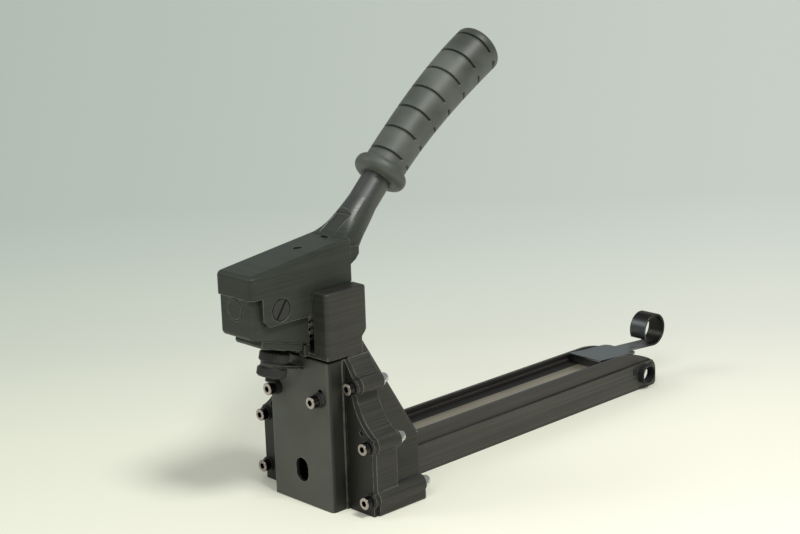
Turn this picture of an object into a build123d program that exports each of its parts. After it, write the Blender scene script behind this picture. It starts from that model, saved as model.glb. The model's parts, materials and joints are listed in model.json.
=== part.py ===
from build123d import *
from math import asin, atan2, cos, degrees, hypot, pi, radians, sin, sqrt, tan
import os

# Hand-lever carton stapler, millimetres, Z up.
# The front cover's face is y = 0 and looks along -Y, the magazine runs along +Y, x = 0 is the middle plane
# and the base stands on z = 0. Every piece is drawn in its rest place: lever up, ram up, pusher at the rear.

# Fits
RUN_GAP = 0.3
PIN_GAP = 0.05
BOLT_GAP = 0.15
SEAT_GAP = 0.1

# Staple that the tool drives
STAPLE_CROWN = 35.0
STAPLE_WIRE = 1.4

# Front cover
COVER_WIDTH = 61.2
COVER_HEIGHT = 105.5
COVER_DEPTH = 14.0
COVER_WALL = 2.5
COVER_EDGE = 3.0
COVER_LIP = 1.0
COVER_LIP_DEPTH = 1.8
WINDOW_WIDTH = 12.5
WINDOW_HEIGHT = 17.0
WINDOW_Z = 24.0
COVER_SCREW_INSET = 8.5
COVER_SCREW_DROP = 26.5
SPACER_LENGTH = 3.2
SPACER_RADIUS = 5.2
LOCK_WASHER = 1.3
LOCK_WASHER_RADIUS = 4.8
KEY_SLOT_WIDTH = 4.6
KEY_SLOT_LENGTH = 7.0
KEY_SLOT_RISE = 3.6
THROAT_SCREW_DROP = 7.2

# Front plate and housing, with places beside the cover's sides and below its top
PLATE_THICKNESS = 3.6
HOUSING_FLARE = 25.1
HOUSING_TOP_FLARE = 0.9
BACK_WALL = 9.9
BOSS_RADIUS = 6.2
UPPER_BOLT_OUT = 8.9
UPPER_BOLT_DROP = 17.7
LOWER_BOLT_OUT = 22.2
MIDDLE_BOLT_Z = 49.0
LOWER_BOLT_Z = 10.9
UPPER_BOSS_END = 36.9
MIDDLE_BOSS_END = 38.6
LOWER_BOSS_END = 60.4
SCOOP_RADIUS = 40.0
SCOOP_OUT = 46.9
SCOOP_DROP = 16.8
DOWEL_OUT = 15.4
DOWEL_Z = 57.0

# Screws
M5_RADIUS = 2.5
M5_HEAD_RADIUS = 4.25
M5_HEAD = 5.0
BOLT_WASHER = 1.5
BOLT_WASHER_RADIUS = 5.2
NUT_FLATS = 8.0
NUT_HEX = 3.6
NUT_DOME_RADIUS = 3.7

# Body with the lever slot, raised from the cover's top
BOX_SIDE = 1.7
BOX_FRONT = -0.4
BOX_REAR = 35.8
BOX_RAISE = 1.8
BOX_HEIGHT = 45.4
BOX_FLOOR_THICKNESS = 2.7
BOX_CHAMFER = 5.9
WEB_TOP_Y = 30.2
WEB_RISE = 10.8
HOLDER_SIDE = 3.0
HOLDER_END = 87.0
HOLDER_TOP = 34.0
CASTING_WALL = 5.0

# Lever, with its side outline in the middle plane and heights above the cover's top
LEVER_HALF = 18.4
LEVER_WALL = 3.1
LEVER_FRONT = -50.6
LEVER_REAR = 35.2
LEVER_SKIRT_RISE = 50.7
LEVER_CHEEK_RISE = 31.0
LEVER_CHEEK_FRONT = -41.5
LEVER_TOP_RISE = 66.1
LEVER_TOP_SLOPE = 7.3
LEVER_EDGE = 3.8
SLOT_SIDE_GAP = 0.5
PIVOT_Y = -26.5
PIVOT_RISE = 40.6
PIVOT_RADIUS = 5.0
PIVOT_HEAD_RADIUS = 7.0
PIVOT_HEAD = 1.7
LEVER_HOLE_Y = 4.5
LEVER_HOLE_RADIUS = 3.2
LEVER_SWING = 40.0
CRANK = 34.0
DRIVE_PIN_RADIUS = 4.0

# Handle, with heights above the cover's top
ARM_ROOT_Y = 35.0
ARM_ROOT_RISE = 67.9
ARM_ROOT_HEIGHT = 21.0
ARM_ROOT_ANGLE = 38.0
ARM_ANGLE = 45.0
ARM_START_Y = 53.0
ARM_START_RISE = 82.2
ARM_NECK_RADIUS = 12.0
ARM_NECK = 16.0
RECESS_HALF = 7.2
RECESS_DEPTH = 3.7
ROOT_SLOT_LENGTH = 8.0
ROOT_SLOT_WIDTH = 3.0
TUBE_RADIUS = 10.3
TUBE_WALL = 2.5
TUBE_STRAIGHT = 35.8
BEND_RADIUS = 473.0
GRIP_LENGTH = 131.0
GRIP_NECK_RADIUS = 15.0
GRIP_END_RADIUS = 18.0
COLLAR_RADIUS = 19.2
COLLAR_LENGTH = 10.5
GRIP_CAP = 9.0
GROOVE_COUNT = 7
GROOVE_FIRST = 15.5
GROOVE_STEP = 17.8
GROOVE_WIDTH = 1.8
GROOVE_DEPTH = 1.0
GROOVE_BRIDGE = 7.0

# Fulcrum block, with heights above the cover's top
BLOCK_FRONT = -50.3
BLOCK_REAR = -4.4
BLOCK_HEEL = -1.2
BLOCK_HEEL_RISE = 34.5
BLOCK_RISE = 24.0
BLOCK_HEIGHT = 26.5
NECK_RADIUS = 7.8
SOLE_HALF = 13.5
SOLE_THICKNESS = 5.0
SOLE_FRONT = -24.0
SOLE_REAR = 11.0
TENON_HALF = 7.6
TENON_DEPTH = 6.4
PAD_HALF = 13.0
PAD_FRONT = -4.2
PAD_BACK = 0.9
PAD_GAP = 0.5
PLUG_RADIUS = 7.6
PLUG_GROOVE = 0.7
PLUG_RISE = 42.7
PLUG_DEPTH = 6.0

# Adjuster, hung from the cover's top
STUD_Y = -20.5
ADJUSTER_TILT = 15.0
STUD_RADIUS = 4.0
STUD_DEPTH = 14.0
KNURL_RADIUS = 10.2
KNURL_EDGE = 1.2
LOWER_NUT_DROP = 9.7
LOWER_NUT_LENGTH = 6.8
LUG_THICKNESS = 1.9
LUG_HALF = 6.5
LUG_END_RADIUS = 8.5
ADJUSTER_WASHER = 1.0
ADJUSTER_WASHER_RADIUS = 8.6
UPPER_NUT_LENGTH = 7.3
KNURL_COUNT = 36

# Ram
RAM_THICKNESS = 4.7
RAM_GUIDE_HALF = 14.8
RAM_STEM_HALF = 11.0
RAM_BOTTOM = 52.0
RAM_SHOULDER_DROP = 1.5
RAM_HEAD_WALL = 3.8
RAM_HEAD_END = 4.8
DRIVER_HALF = 16.5
DRIVER_THICKNESS = 1.5
DRIVER_LENGTH = 37.5
SPRING_RADIUS = 4.4
SPRING_WIRE = 0.75
SPRING_TURNS = 7
SPRING_Y = 6.6
GUIDE_ROD_RADIUS = 3.2
GUIDE_ROD_LENGTH = 14.0

# Clinchers, whose pivots stand outside the staple's legs
CLINCH_PIVOT_OUT = 8.5
CLINCH_PIVOT_Z = 18.5
CLINCH_PIN_RADIUS = 2.5
CLINCH_HUB = 6.0
CLINCH_THICKNESS = 4.0
CLINCH_RADIUS = 21.0
CLINCH_BAR = 4.0
CLINCH_SWING = 78.0
TAIL_PIN_RADIUS = 2.5
HOOK_START = 12.0
HOOK_END = -34.0
YOKE_THICKNESS = 3.9
YOKE_HEIGHT = 12.0
YOKE_JAW = 3.0
YOKE_SCREW_X = 8.0
YOKE_SCREW_RADIUS = 2.0

# Magazine
CHANNEL_WALL = 1.8
CHANNEL_HEIGHT = 21.2
RAIL_WALL = 2.6
RAIL_HEIGHT = 32.1
RAIL_FLOOR = 2.1
RAIL_GROOVE_Z = 27.2
RAIL_GROOVE_HEIGHT = 2.9
RAIL_GROOVE_DEPTH = 1.0
MAGAZINE_END = 358.8
MAGAZINE_REACH = MAGAZINE_END + 140.1
TAIL_FLOOR_GAP = 11
TAIL_FOOT_ROUND = 4
TAIL_FOOT_INSET = 1.1
TAIL_STRAIGHT = 13
TAIL_SHOULDER_INSET = 2.3
TAIL_SHOULDER_Z = 19.2
TAIL_CURVE_INSET = 7.8
TAIL_CURVE_Z = 23.4
TAIL_SLOPE_INSET = 25.8
TAIL_SLOPE_DROP = 2.4
MAGAZINE_SIDE_REACH = 90
MAGAZINE_SLOPE_Y = 307.0
CORE_TOP = 25.0
CORE_WALL = 2.2
CORE_END = 328.0
REAR_HOLE_Y = 343.7
REAR_HOLE_Z = 12.3
REAR_HOLE_RADIUS = 6.8
BUSH_SHANK_RADIUS = 7.4
BUSH_RADIUS = 7.8
BUSH_LENGTH = 5.8
BUSH_ROOM_RADIUS = 8.5
BUSH_KNURLS = 20
RIBBON_HALF = 8.5
RIBBON_THICKNESS = 0.4
RIBBON_START = 30.0
MAGAZINE_SCREW_Y = 48.0
MAGAZINE_SCREW_Z = 6.0
MAGAZINE_SCREW_RADIUS = 2.5
RIVET_RADIUS = 1.5
RIVET_HEAD_RADIUS = 2.2
RIVET_HEAD = 0.7
RIVET_AHEAD = 11.3
RIVET_BEHIND = 9.3
FRONT_RIVET_Z = 16.1
REAR_RIVET_Z = 17.0

# Pusher
PUSHER_FRONT = 297.0
PUSHER_LENGTH = 46.0
SADDLE_LENGTH = 34.0
PUSHER_HALF = 16.0
PUSHER_SHEET = 1.6
PUSHER_TOP = 32.9
NECK_STRIP_HALF = 7.45
LOOP_Y = 376.0
LOOP_Z = 38.7
LOOP_RADIUS = 13.3
LOOP_END_ANGLE = 207.0
COIL_RADIUS = 2.4
COIL_PIN_RADIUS = 1.2
PUSHER_TRAVEL = 255.0

# Places that follow from the sizes above
COVER_HALF = COVER_WIDTH / 2
COVER_SCREW_X = COVER_HALF - COVER_SCREW_INSET
COVER_SCREW_Z = COVER_HEIGHT - COVER_SCREW_DROP
PLATE_HEIGHT = COVER_HEIGHT
HOUSING_HALF = COVER_HALF + HOUSING_FLARE
HOUSING_TOP_HALF = COVER_HALF + HOUSING_TOP_FLARE
UPPER_BOLT = (COVER_HALF + UPPER_BOLT_OUT, COVER_HEIGHT - UPPER_BOLT_DROP)
MIDDLE_BOLT = (COVER_HALF + LOWER_BOLT_OUT, MIDDLE_BOLT_Z)
LOWER_BOLT = (COVER_HALF + LOWER_BOLT_OUT, LOWER_BOLT_Z)
SCOOP = (COVER_HALF + SCOOP_OUT, COVER_HEIGHT - SCOOP_DROP)
DOWEL_HOLE = (COVER_HALF + DOWEL_OUT, DOWEL_Z)
BOX_HALF = COVER_HALF + BOX_SIDE
BOX_BOTTOM = COVER_HEIGHT + BOX_RAISE
BOX_TOP = BOX_BOTTOM + BOX_HEIGHT
BOX_FLOOR = BOX_BOTTOM + BOX_FLOOR_THICKNESS
WEB_TOP_Z = BOX_BOTTOM + WEB_RISE
BOX_CHAMFER_Z = WEB_TOP_Z + BOX_CHAMFER
LEVER_SKIRT_Z = COVER_HEIGHT + LEVER_SKIRT_RISE
LEVER_CHEEK_Z = COVER_HEIGHT + LEVER_CHEEK_RISE
LEVER_TOP_Z = COVER_HEIGHT + LEVER_TOP_RISE
PIVOT_Z = COVER_HEIGHT + PIVOT_RISE
ARM_ROOT_Z = COVER_HEIGHT + ARM_ROOT_RISE
ARM_START_Z = COVER_HEIGHT + ARM_START_RISE
BLOCK_BOTTOM = COVER_HEIGHT + BLOCK_RISE
BLOCK_TOP = BLOCK_BOTTOM + BLOCK_HEIGHT
BLOCK_HEEL_TOP = COVER_HEIGHT + BLOCK_HEEL_RISE
BLOCK_HEEL_Z = BLOCK_BOTTOM - (BLOCK_HEEL - BLOCK_FRONT) * tan(radians(ADJUSTER_TILT))
PAD_TOP = BLOCK_HEEL_Z - PAD_GAP
PLUG_Z = COVER_HEIGHT + PLUG_RISE
LOWER_NUT_Z = -LOWER_NUT_DROP
BLOCK_SEAT = (BLOCK_FRONT - STUD_Y) * sin(radians(ADJUSTER_TILT)) + BLOCK_RISE * cos(radians(ADJUSTER_TILT))
RAM_SHOULDER = COVER_HEIGHT - RAM_SHOULDER_DROP
CLINCH_PIVOT_X = STAPLE_CROWN / 2 + CLINCH_PIVOT_OUT
PLATE_FRONT = COVER_DEPTH
PLATE_REAR = PLATE_FRONT + PLATE_THICKNESS
DRIVER_FRONT = PLATE_REAR + RUN_GAP
CORE_FRONT = DRIVER_FRONT + DRIVER_THICKNESS + RUN_GAP
CLINCH_FRONT = PLATE_REAR + RUN_GAP
CLINCH_REAR = CLINCH_FRONT + CLINCH_THICKNESS
YOKE_FRONT = CLINCH_REAR + RUN_GAP + SEAT_GAP
YOKE_REAR = YOKE_FRONT + YOKE_THICKNESS
POCKET_REAR = YOKE_REAR + RUN_GAP + SEAT_GAP
HOUSING_REAR = POCKET_REAR + BACK_WALL
MAGAZINE_FRONT = POCKET_REAR + RUN_GAP
SLOT_HALF = LEVER_HALF + SLOT_SIDE_GAP
LEVER_INSIDE = LEVER_HALF - LEVER_WALL
BLOCK_HALF = LEVER_INSIDE - RUN_GAP
RAIL_INSIDE = STAPLE_CROWN / 2 + SEAT_GAP
RAIL_OUTSIDE = RAIL_INSIDE + RAIL_WALL
CHANNEL_INSIDE = RAIL_OUTSIDE
CHANNEL_OUTSIDE = CHANNEL_INSIDE + CHANNEL_WALL
HOLDER_HALF = CHANNEL_OUTSIDE + HOLDER_SIDE
CORE_HALF = STAPLE_CROWN / 2 - STAPLE_WIRE + SEAT_GAP
RAM_REAR = PLATE_REAR - SEAT_GAP
RAM_FRONT = RAM_REAR - RAM_THICKNESS
CRANK_LEAD = LEVER_SWING / 2
DRIVE_Y = PIVOT_Y + CRANK * cos(radians(CRANK_LEAD))
DRIVE_Z = PIVOT_Z + CRANK * sin(radians(CRANK_LEAD))
RAM_TRAVEL = 2 * CRANK * sin(radians(CRANK_LEAD))
DRIVE_SLOT_HALF = DRIVE_PIN_RADIUS + 0.2
DRIVE_SLOT_FRONT = DRIVE_Y - DRIVE_PIN_RADIUS - RUN_GAP
DRIVE_SLOT_REAR = PIVOT_Y + CRANK + DRIVE_PIN_RADIUS + RUN_GAP
RAM_HEAD_BOTTOM = DRIVE_Z - DRIVE_SLOT_HALF - RAM_HEAD_WALL
RAM_HEAD_TOP = DRIVE_Z + DRIVE_SLOT_HALF + RAM_HEAD_WALL
RAM_HEAD_FRONT = DRIVE_SLOT_FRONT - RAM_HEAD_END
TAIL_RADIUS = RAM_TRAVEL / 2 / sin(radians(CLINCH_SWING / 2))
TAIL_X = CLINCH_PIVOT_X + TAIL_RADIUS * cos(radians(CLINCH_SWING / 2))
TAIL_Z = CLINCH_PIVOT_Z + RAM_TRAVEL / 2
TAIL_REACH = CLINCH_PIVOT_X + TAIL_RADIUS + TAIL_PIN_RADIUS
YOKE_SLOT_HALF = TAIL_PIN_RADIUS + 0.6
LUG_Z = LOWER_NUT_Z + LOWER_NUT_LENGTH + SEAT_GAP
WASHER_Z = LUG_Z + LUG_THICKNESS
UPPER_NUT_Z = WASHER_Z + ADJUSTER_WASHER + SEAT_GAP
NECK_BOTTOM = UPPER_NUT_Z + UPPER_NUT_LENGTH + 1.7
RIBBON_TOP = CORE_TOP - SEAT_GAP
PUSHER_UNDER = PUSHER_TOP - PUSHER_SHEET
COIL_Y = PUSHER_FRONT + 9.0
COIL_Z = RIBBON_TOP + COIL_RADIUS + SEAT_GAP
BOLT_HEAD_REAR = PLATE_FRONT - BOLT_WASHER
RAM_LOWEST = RAM_HEAD_BOTTOM - RAM_TRAVEL


def box(x0, x1, y0, y1, z0, z1):
    """Block between two opposite corners."""
    middle = Pos((x0 + x1) / 2, (y0 + y1) / 2, (z0 + z1) / 2)
    return middle * Box(x1 - x0, y1 - y0, z1 - z0)


def rod_x(y, z, radius, x0, x1):
    """Cylinder along X."""
    return Pos((x0 + x1) / 2, y, z) * Rot(0, 90, 0) * Cylinder(radius, x1 - x0)


def rod_y(x, z, radius, y0, y1):
    """Cylinder along Y."""
    return Pos(x, (y0 + y1) / 2, z) * Rot(90, 0, 0) * Cylinder(radius, y1 - y0)


def rod_z(x, y, radius, z0, z1):
    """Cylinder along Z."""
    return Pos(x, y, (z0 + z1) / 2) * Cylinder(radius, z1 - z0)


def side_slab(points, x0, x1):
    """Outline given as (y, z) points, thick from x0 to x1."""
    face = make_face(Polyline(*points, close=True))
    return extrude(Plane.YZ.offset(x0) * face, amount=x1 - x0)


def front_slab(points, y0, y1):
    """Outline given as (x, z) points, thick from y0 to y1."""
    plane = Plane(origin=(0, y1, 0), x_dir=(1, 0, 0), z_dir=(0, -1, 0))
    face = make_face(Polyline(*points, close=True))
    return extrude(plane * face, amount=y1 - y0)


def front_face(sketch, y0, y1):
    """Sketch drawn in x and z, thick from y0 to y1."""
    plane = Plane(origin=(0, y1, 0), x_dir=(1, 0, 0), z_dir=(0, -1, 0))
    return extrude(plane * sketch, amount=y1 - y0)


def both_sides(shape):
    """The shape and its mirror image across the middle plane."""
    return shape + mirror(shape, about=Plane.YZ)


def group(shapes):
    """Separate solids kept together under one name."""
    solids = []
    for shape in shapes:
        solids.extend(shape.solids())
    return Compound(children=solids)


def on_adjuster(shape):
    """Brings a shape drawn about the Z axis onto the tilted line of the adjuster's stud."""
    return Pos(0, STUD_Y, COVER_HEIGHT) * Rot(-ADJUSTER_TILT, 0, 0) * shape


def hexagon(across_flats):
    """Hexagon sketch by its width across flats."""
    return RegularPolygon(across_flats / 2, 6, major_radius=False)


def socket_screw(x, z, head_front, tip, radius, head_radius, head):
    """Socket-head screw along +Y with a hexagon recess in its front."""
    body = rod_y(x, z, head_radius, head_front, head_front + head)
    rim = body.edges().filter_by(GeomType.CIRCLE).sort_by(Axis.Y)[0]
    body = chamfer(rim, 0.4)
    shank = rod_y(x, z, radius, head_front + head - 0.2, tip)
    recess = front_face(Pos(x, z) * hexagon(head_radius * 0.94), head_front - 1, head_front + head * 0.55)
    return body + shank - recess


def ring_y(x, z, outer, inner, y0, y1):
    """Washer with its axis along Y."""
    return rod_y(x, z, outer, y0, y1) - rod_y(x, z, inner, y0 - 1, y1 + 1)


def housing_outline(reach):
    """Half outline of the flared housing as (x, z) points, before it is scooped out."""
    upper_x, upper_z = UPPER_BOLT
    middle_x, middle_z = MIDDLE_BOLT
    length = hypot(middle_x - upper_x, middle_z - upper_z)
    out_x = (upper_z - middle_z) / length
    out_z = (middle_x - upper_x) / length
    return [
        (0, 0),
        (HOUSING_HALF, 0),
        (HOUSING_HALF, middle_z),
        (middle_x + reach * out_x, middle_z + reach * out_z),
        (upper_x, upper_z + reach),
        (HOUSING_TOP_HALF, PLATE_HEIGHT),
        (0, PLATE_HEIGHT),
    ]


def scooped_slab(reach, y0, y1):
    """Flared slab, hollowed between the upper and the middle boss, with its bosses still to be added."""
    slab = front_slab(full_outline(housing_outline(reach)), y0, y1)
    radius = SCOOP_RADIUS + BOSS_RADIUS - reach
    scoop = rod_y(*SCOOP, radius, y0 - 1, y1 + 1)
    side = box(0, SCOOP[0] + radius, y0 - 2, y1 + 2, MIDDLE_BOLT[1], UPPER_BOLT[1])
    return slab - both_sides(scoop & side)


def full_outline(half):
    """Half outline and its mirror image as one closed list of points."""
    other = [(-x, z) for x, z in reversed(half) if x > 0]
    return half + other


def housing_bolts():
    """The three bolt places on the right side with the end of each boss."""
    return [
        (UPPER_BOLT, UPPER_BOSS_END),
        (MIDDLE_BOLT, MIDDLE_BOSS_END),
        (LOWER_BOLT, LOWER_BOSS_END),
    ]


def all_bolts():
    """The six bolt places as (x, z, boss end)."""
    places = []
    for (x, z), end in housing_bolts():
        places.append((x, z, end))
        places.append((-x, z, end))
    return places


def web_at(z):
    """Half width and rear face of the sloping web at a height."""
    part_way = (WEB_TOP_Z - z) / (WEB_TOP_Z - HOLDER_TOP)
    half = BOX_HALF + part_way * (HOLDER_HALF - BOX_HALF)
    rear = WEB_TOP_Y + part_way * (HOLDER_END - WEB_TOP_Y)
    return half, rear


def web_block(z0, z1, front, inset):
    """Tapered block inside the web's walls."""
    faces = []
    for z in (z0, z1):
        half, rear = web_at(z)
        wide = 2 * (half - inset)
        long = rear - inset - front
        faces.append(Pos(0, front + long / 2, z) * Rectangle(wide, long))
    return loft(faces)


def main_casting():
    """Body: lever cheeks, web, flared housing, bolt bosses and magazine sleeve."""
    cheek = box(SLOT_HALF, BOX_HALF, BOX_FRONT, BOX_REAR, BOX_BOTTOM, BOX_TOP)
    cheek = fillet(cheek.edges().filter_by(Axis.Z).group_by(Axis.X)[-1], 3.0)
    cheek = fillet(cheek.faces().sort_by(Axis.Z)[-1].edges(), 1.6)
    corner = side_slab(
        [
            (WEB_TOP_Y, WEB_TOP_Z),
            (BOX_REAR, BOX_CHAMFER_Z),
            (BOX_REAR + 9, BOX_CHAMFER_Z),
            (BOX_REAR + 9, BOX_BOTTOM - 1),
            (WEB_TOP_Y, BOX_BOTTOM - 1),
        ],
        SLOT_HALF - 1,
        BOX_HALF + 1,
    )
    cheek = cheek - corner
    floor = box(-BOX_HALF + 1, BOX_HALF - 1, BOX_FRONT, WEB_TOP_Y, BOX_BOTTOM, BOX_FLOOR)
    pad = box(-PAD_HALF, PAD_HALF, PAD_FRONT, PAD_BACK, BOX_BOTTOM + 0.4, PAD_TOP)
    pad = fillet(pad.edges().filter_by(Axis.Z).group_by(Axis.Y)[0], 1.0)
    web = web_block(HOLDER_TOP - 2, WEB_TOP_Z, PLATE_REAR, 0)
    slanted = [e for e in web.edges() if abs(e.center().X) > 20 and e.center().Y > 40 and e.center().Z > 40]
    slanted = [e for e in slanted if e.bounding_box().size.Z > 50]
    web = fillet(slanted, 3.0)
    sleeve = box(-HOLDER_HALF, HOLDER_HALF, PLATE_REAR, HOLDER_END, 0, HOLDER_TOP)
    sleeve = fillet(sleeve.edges().filter_by(Axis.Z).group_by(Axis.Y)[-1], 1.5)
    housing = scooped_slab(BOSS_RADIUS, PLATE_REAR, HOUSING_REAR)
    body = housing + web + sleeve + floor + both_sides(cheek)
    for (x, z), end in housing_bolts():
        body = body + both_sides(rod_y(x, z, BOSS_RADIUS, PLATE_REAR, end))
    foot = box(LOWER_BOLT[0] - 5.5, LOWER_BOLT[0] + 5.0, PLATE_REAR, LOWER_BOSS_END, 0, LOWER_BOLT[1])
    foot = fillet(foot.edges().filter_by(Axis.Y).group_by(Axis.Z)[0].sort_by(Axis.X)[-1:], 1.5)
    body = body + both_sides(foot)
    body = body - box(-SLOT_HALF, SLOT_HALF, BOX_FRONT - 1, BOX_REAR + 10, BOX_FLOOR, BOX_TOP + 1)
    body = body + pad
    tenon_room = TENON_HALF + SEAT_GAP
    body = body - box(-tenon_room, tenon_room, PAD_FRONT - 1, BOX_FRONT, BOX_BOTTOM, PAD_TOP + 1)
    stem_hole_half = RAM_STEM_HALF + RUN_GAP
    body = body - box(
        -stem_hole_half, stem_hole_half, RAM_FRONT - RUN_GAP, RAM_REAR + RUN_GAP, BOX_BOTTOM - 10, BOX_FLOOR + 1
    )
    body = body - pocket()
    body = body - web_block(HOLDER_TOP + 8, BOX_BOTTOM - 7.3, PLATE_REAR + CASTING_WALL, CASTING_WALL)
    body = body - magazine_space()
    for x, z, end in all_bolts():
        body = body - rod_y(x, z, M5_RADIUS + BOLT_GAP, PLATE_REAR - 1, end + 1)
    for x in (-CLINCH_PIVOT_X, CLINCH_PIVOT_X):
        body = body - rod_y(x, CLINCH_PIVOT_Z, CLINCH_PIN_RADIUS, POCKET_REAR - 1, HOUSING_REAR - 2.5)
    for side in (-1, 1):
        place = sorted((side * (CHANNEL_OUTSIDE - 1), side * (HOLDER_HALF + 1)))
        body = body - rod_x(MAGAZINE_SCREW_Y, MAGAZINE_SCREW_Z, MAGAZINE_SCREW_RADIUS, *place)
    body = body - rod_z(0, SPRING_Y, GUIDE_ROD_RADIUS, BOX_BOTTOM - 1, BOX_FLOOR + 1)
    return body


def pocket():
    """Room for the driver, the yoke and the clinchers behind the front plate."""
    half = TAIL_REACH + RUN_GAP + SEAT_GAP
    jaw_top = TAIL_Z + YOKE_SLOT_HALF + YOKE_JAW + RUN_GAP + SEAT_GAP
    leg_half = yoke_leg()[1] + RUN_GAP + SEAT_GAP
    top = RAM_BOTTOM + YOKE_HEIGHT + 2
    room = box(-half, half, PLATE_REAR - 0.01, POCKET_REAR, -1, jaw_top)
    room = room + box(-leg_half, leg_half, PLATE_REAR - 0.01, POCKET_REAR, -1, top)
    sweep_radius = CLINCH_RADIUS + CLINCH_BAR / 2 + 0.6
    for x in (-CLINCH_PIVOT_X, CLINCH_PIVOT_X):
        room = room + rod_y(x, CLINCH_PIVOT_Z, sweep_radius, PLATE_REAR - 0.01, CLINCH_REAR + RUN_GAP)
    return room


def magazine_space():
    """Opening through the sleeve for the magazine, the pusher and its finger neck."""
    end = HOLDER_END + 5
    start = POCKET_REAR - 1
    lower = CHANNEL_OUTSIDE + SEAT_GAP
    upper = RAIL_OUTSIDE + SEAT_GAP
    room = box(-lower, lower, start, end, -1, CHANNEL_HEIGHT + SEAT_GAP)
    room = room + box(-upper, upper, start, end, -1, RAIL_HEIGHT + SEAT_GAP)
    clear = RAIL_INSIDE - SEAT_GAP
    room = room + box(-clear, clear, start, end, RAIL_HEIGHT, PUSHER_TOP + 2.0)
    return room


def front_plate():
    """Flared plate that closes the housing and guides the ram."""
    plate = scooped_slab(BOSS_RADIUS - 0.5, PLATE_FRONT, PLATE_REAR)
    for x, z, end in all_bolts():
        plate = plate + rod_y(x, z, BOSS_RADIUS - 0.5, PLATE_FRONT, PLATE_REAR)
    plate = plate & box(-80, 80, 0, 80, 0, 200)
    guide = RAM_GUIDE_HALF + 0.15
    low = RAM_BOTTOM - RAM_TRAVEL - 1.2
    plate = plate - box(-guide, guide, PLATE_FRONT - 1, PLATE_REAR + 1, low, PLATE_HEIGHT + 1)
    plate = plate + rod_y(0, throat_screw_z(), 5.4, PLATE_FRONT - 3.5, PLATE_FRONT)
    plate = plate - rod_y(0, throat_screw_z(), M5_RADIUS, PLATE_FRONT - 4, PLATE_REAR + 1)
    for x, z, end in all_bolts():
        plate = plate - rod_y(x, z, M5_RADIUS + BOLT_GAP, PLATE_FRONT - 1, PLATE_REAR + 1)
    for side in (-1, 1):
        plate = plate - rod_y(side * CLINCH_PIVOT_X, CLINCH_PIVOT_Z, CLINCH_PIN_RADIUS, 0, PLATE_REAR + 1)
        plate = plate - rod_y(side * COVER_SCREW_X, COVER_SCREW_Z, M5_RADIUS, 0, PLATE_REAR + 1)
        plate = plate - rod_y(side * DOWEL_HOLE[0], DOWEL_HOLE[1], 1.8, 0, PLATE_FRONT + 2.2)
    return plate


def throat_screw_z():
    """Height of the screw behind the window, below the lowest place of the ram."""
    return RAM_BOTTOM - RAM_TRAVEL - THROAT_SCREW_DROP


def front_cover():
    """Box-shaped cover, open behind and below, with window and adjuster lug."""
    half = COVER_HALF
    shell = box(-half, half, 0, COVER_DEPTH, 0, COVER_HEIGHT)
    front_edges = shell.edges().filter_by(Axis.Z).group_by(Axis.Y)[0]
    shell = fillet(front_edges, COVER_EDGE)
    top_edges = shell.faces().sort_by(Axis.Z)[-1].edges()
    top_edges = [e for e in top_edges if e.center().Y < COVER_DEPTH - 0.01]
    shell = fillet(top_edges, 1.5)
    lip_half = half + COVER_LIP
    shell = shell + box(-lip_half, lip_half, COVER_DEPTH - COVER_LIP_DEPTH, COVER_DEPTH, 0, COVER_HEIGHT)
    inside = half - COVER_WALL
    shell = shell - box(-inside, inside, COVER_WALL, COVER_DEPTH + 1, -1, COVER_HEIGHT - COVER_WALL)
    stem_clear = RAM_GUIDE_HALF + RUN_GAP
    shell = shell - box(-stem_clear, stem_clear, RAM_FRONT - RUN_GAP, COVER_DEPTH + 1, RAM_BOTTOM, COVER_HEIGHT + 1)
    reach = (COVER_WALL - STUD_Y) / cos(radians(ADJUSTER_TILT)) + LUG_THICKNESS
    shape = Polyline(
        (-LUG_END_RADIUS, 0),
        (-LUG_HALF, reach),
        (LUG_HALF, reach),
        (LUG_END_RADIUS, 0),
        close=True,
    )
    outline = make_face(shape) + Circle(LUG_END_RADIUS)
    lug = on_adjuster(extrude(Pos(0, 0, LUG_Z) * outline, amount=LUG_THICKNESS))
    lug = lug & box(-half, half, STUD_Y - 2 * LUG_END_RADIUS, COVER_WALL / 2, 0, 2 * COVER_HEIGHT)
    lug = lug - on_adjuster(rod_z(0, 0, STUD_RADIUS, LUG_Z - 1, WASHER_Z + 1))
    shell = shell + lug
    window = Rot(0, 0, 90) * SlotOverall(WINDOW_HEIGHT, WINDOW_WIDTH)
    shell = shell - front_face(Pos(0, WINDOW_Z) * window, -1, COVER_WALL + 1)
    key = Rot(0, 0, 90) * SlotOverall(KEY_SLOT_LENGTH, KEY_SLOT_WIDTH)
    for x in (-COVER_SCREW_X, COVER_SCREW_X):
        shell = shell - rod_y(x, COVER_SCREW_Z, M5_RADIUS + BOLT_GAP, -1, COVER_WALL + 1)
        shell = shell - front_face(Pos(x, COVER_SCREW_Z + KEY_SLOT_RISE) * key, -1, COVER_WALL + 1)
    return shell


def cover_screws():
    """Two socket screws through the cover into the front plate."""
    front = -SPACER_LENGTH - LOCK_WASHER - M5_HEAD
    screws = []
    for x in (-COVER_SCREW_X, COVER_SCREW_X):
        screws.append(socket_screw(x, COVER_SCREW_Z, front, PLATE_REAR - 0.2, M5_RADIUS, M5_HEAD_RADIUS, M5_HEAD))
    return group(screws)


def cover_washers():
    """Lock washers under the cover screws' heads."""
    rear = -SPACER_LENGTH
    rings = []
    for x in (-COVER_SCREW_X, COVER_SCREW_X):
        rings.append(ring_y(x, COVER_SCREW_Z, LOCK_WASHER_RADIUS, M5_RADIUS + BOLT_GAP, rear - LOCK_WASHER, rear))
    return group(rings)


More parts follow.
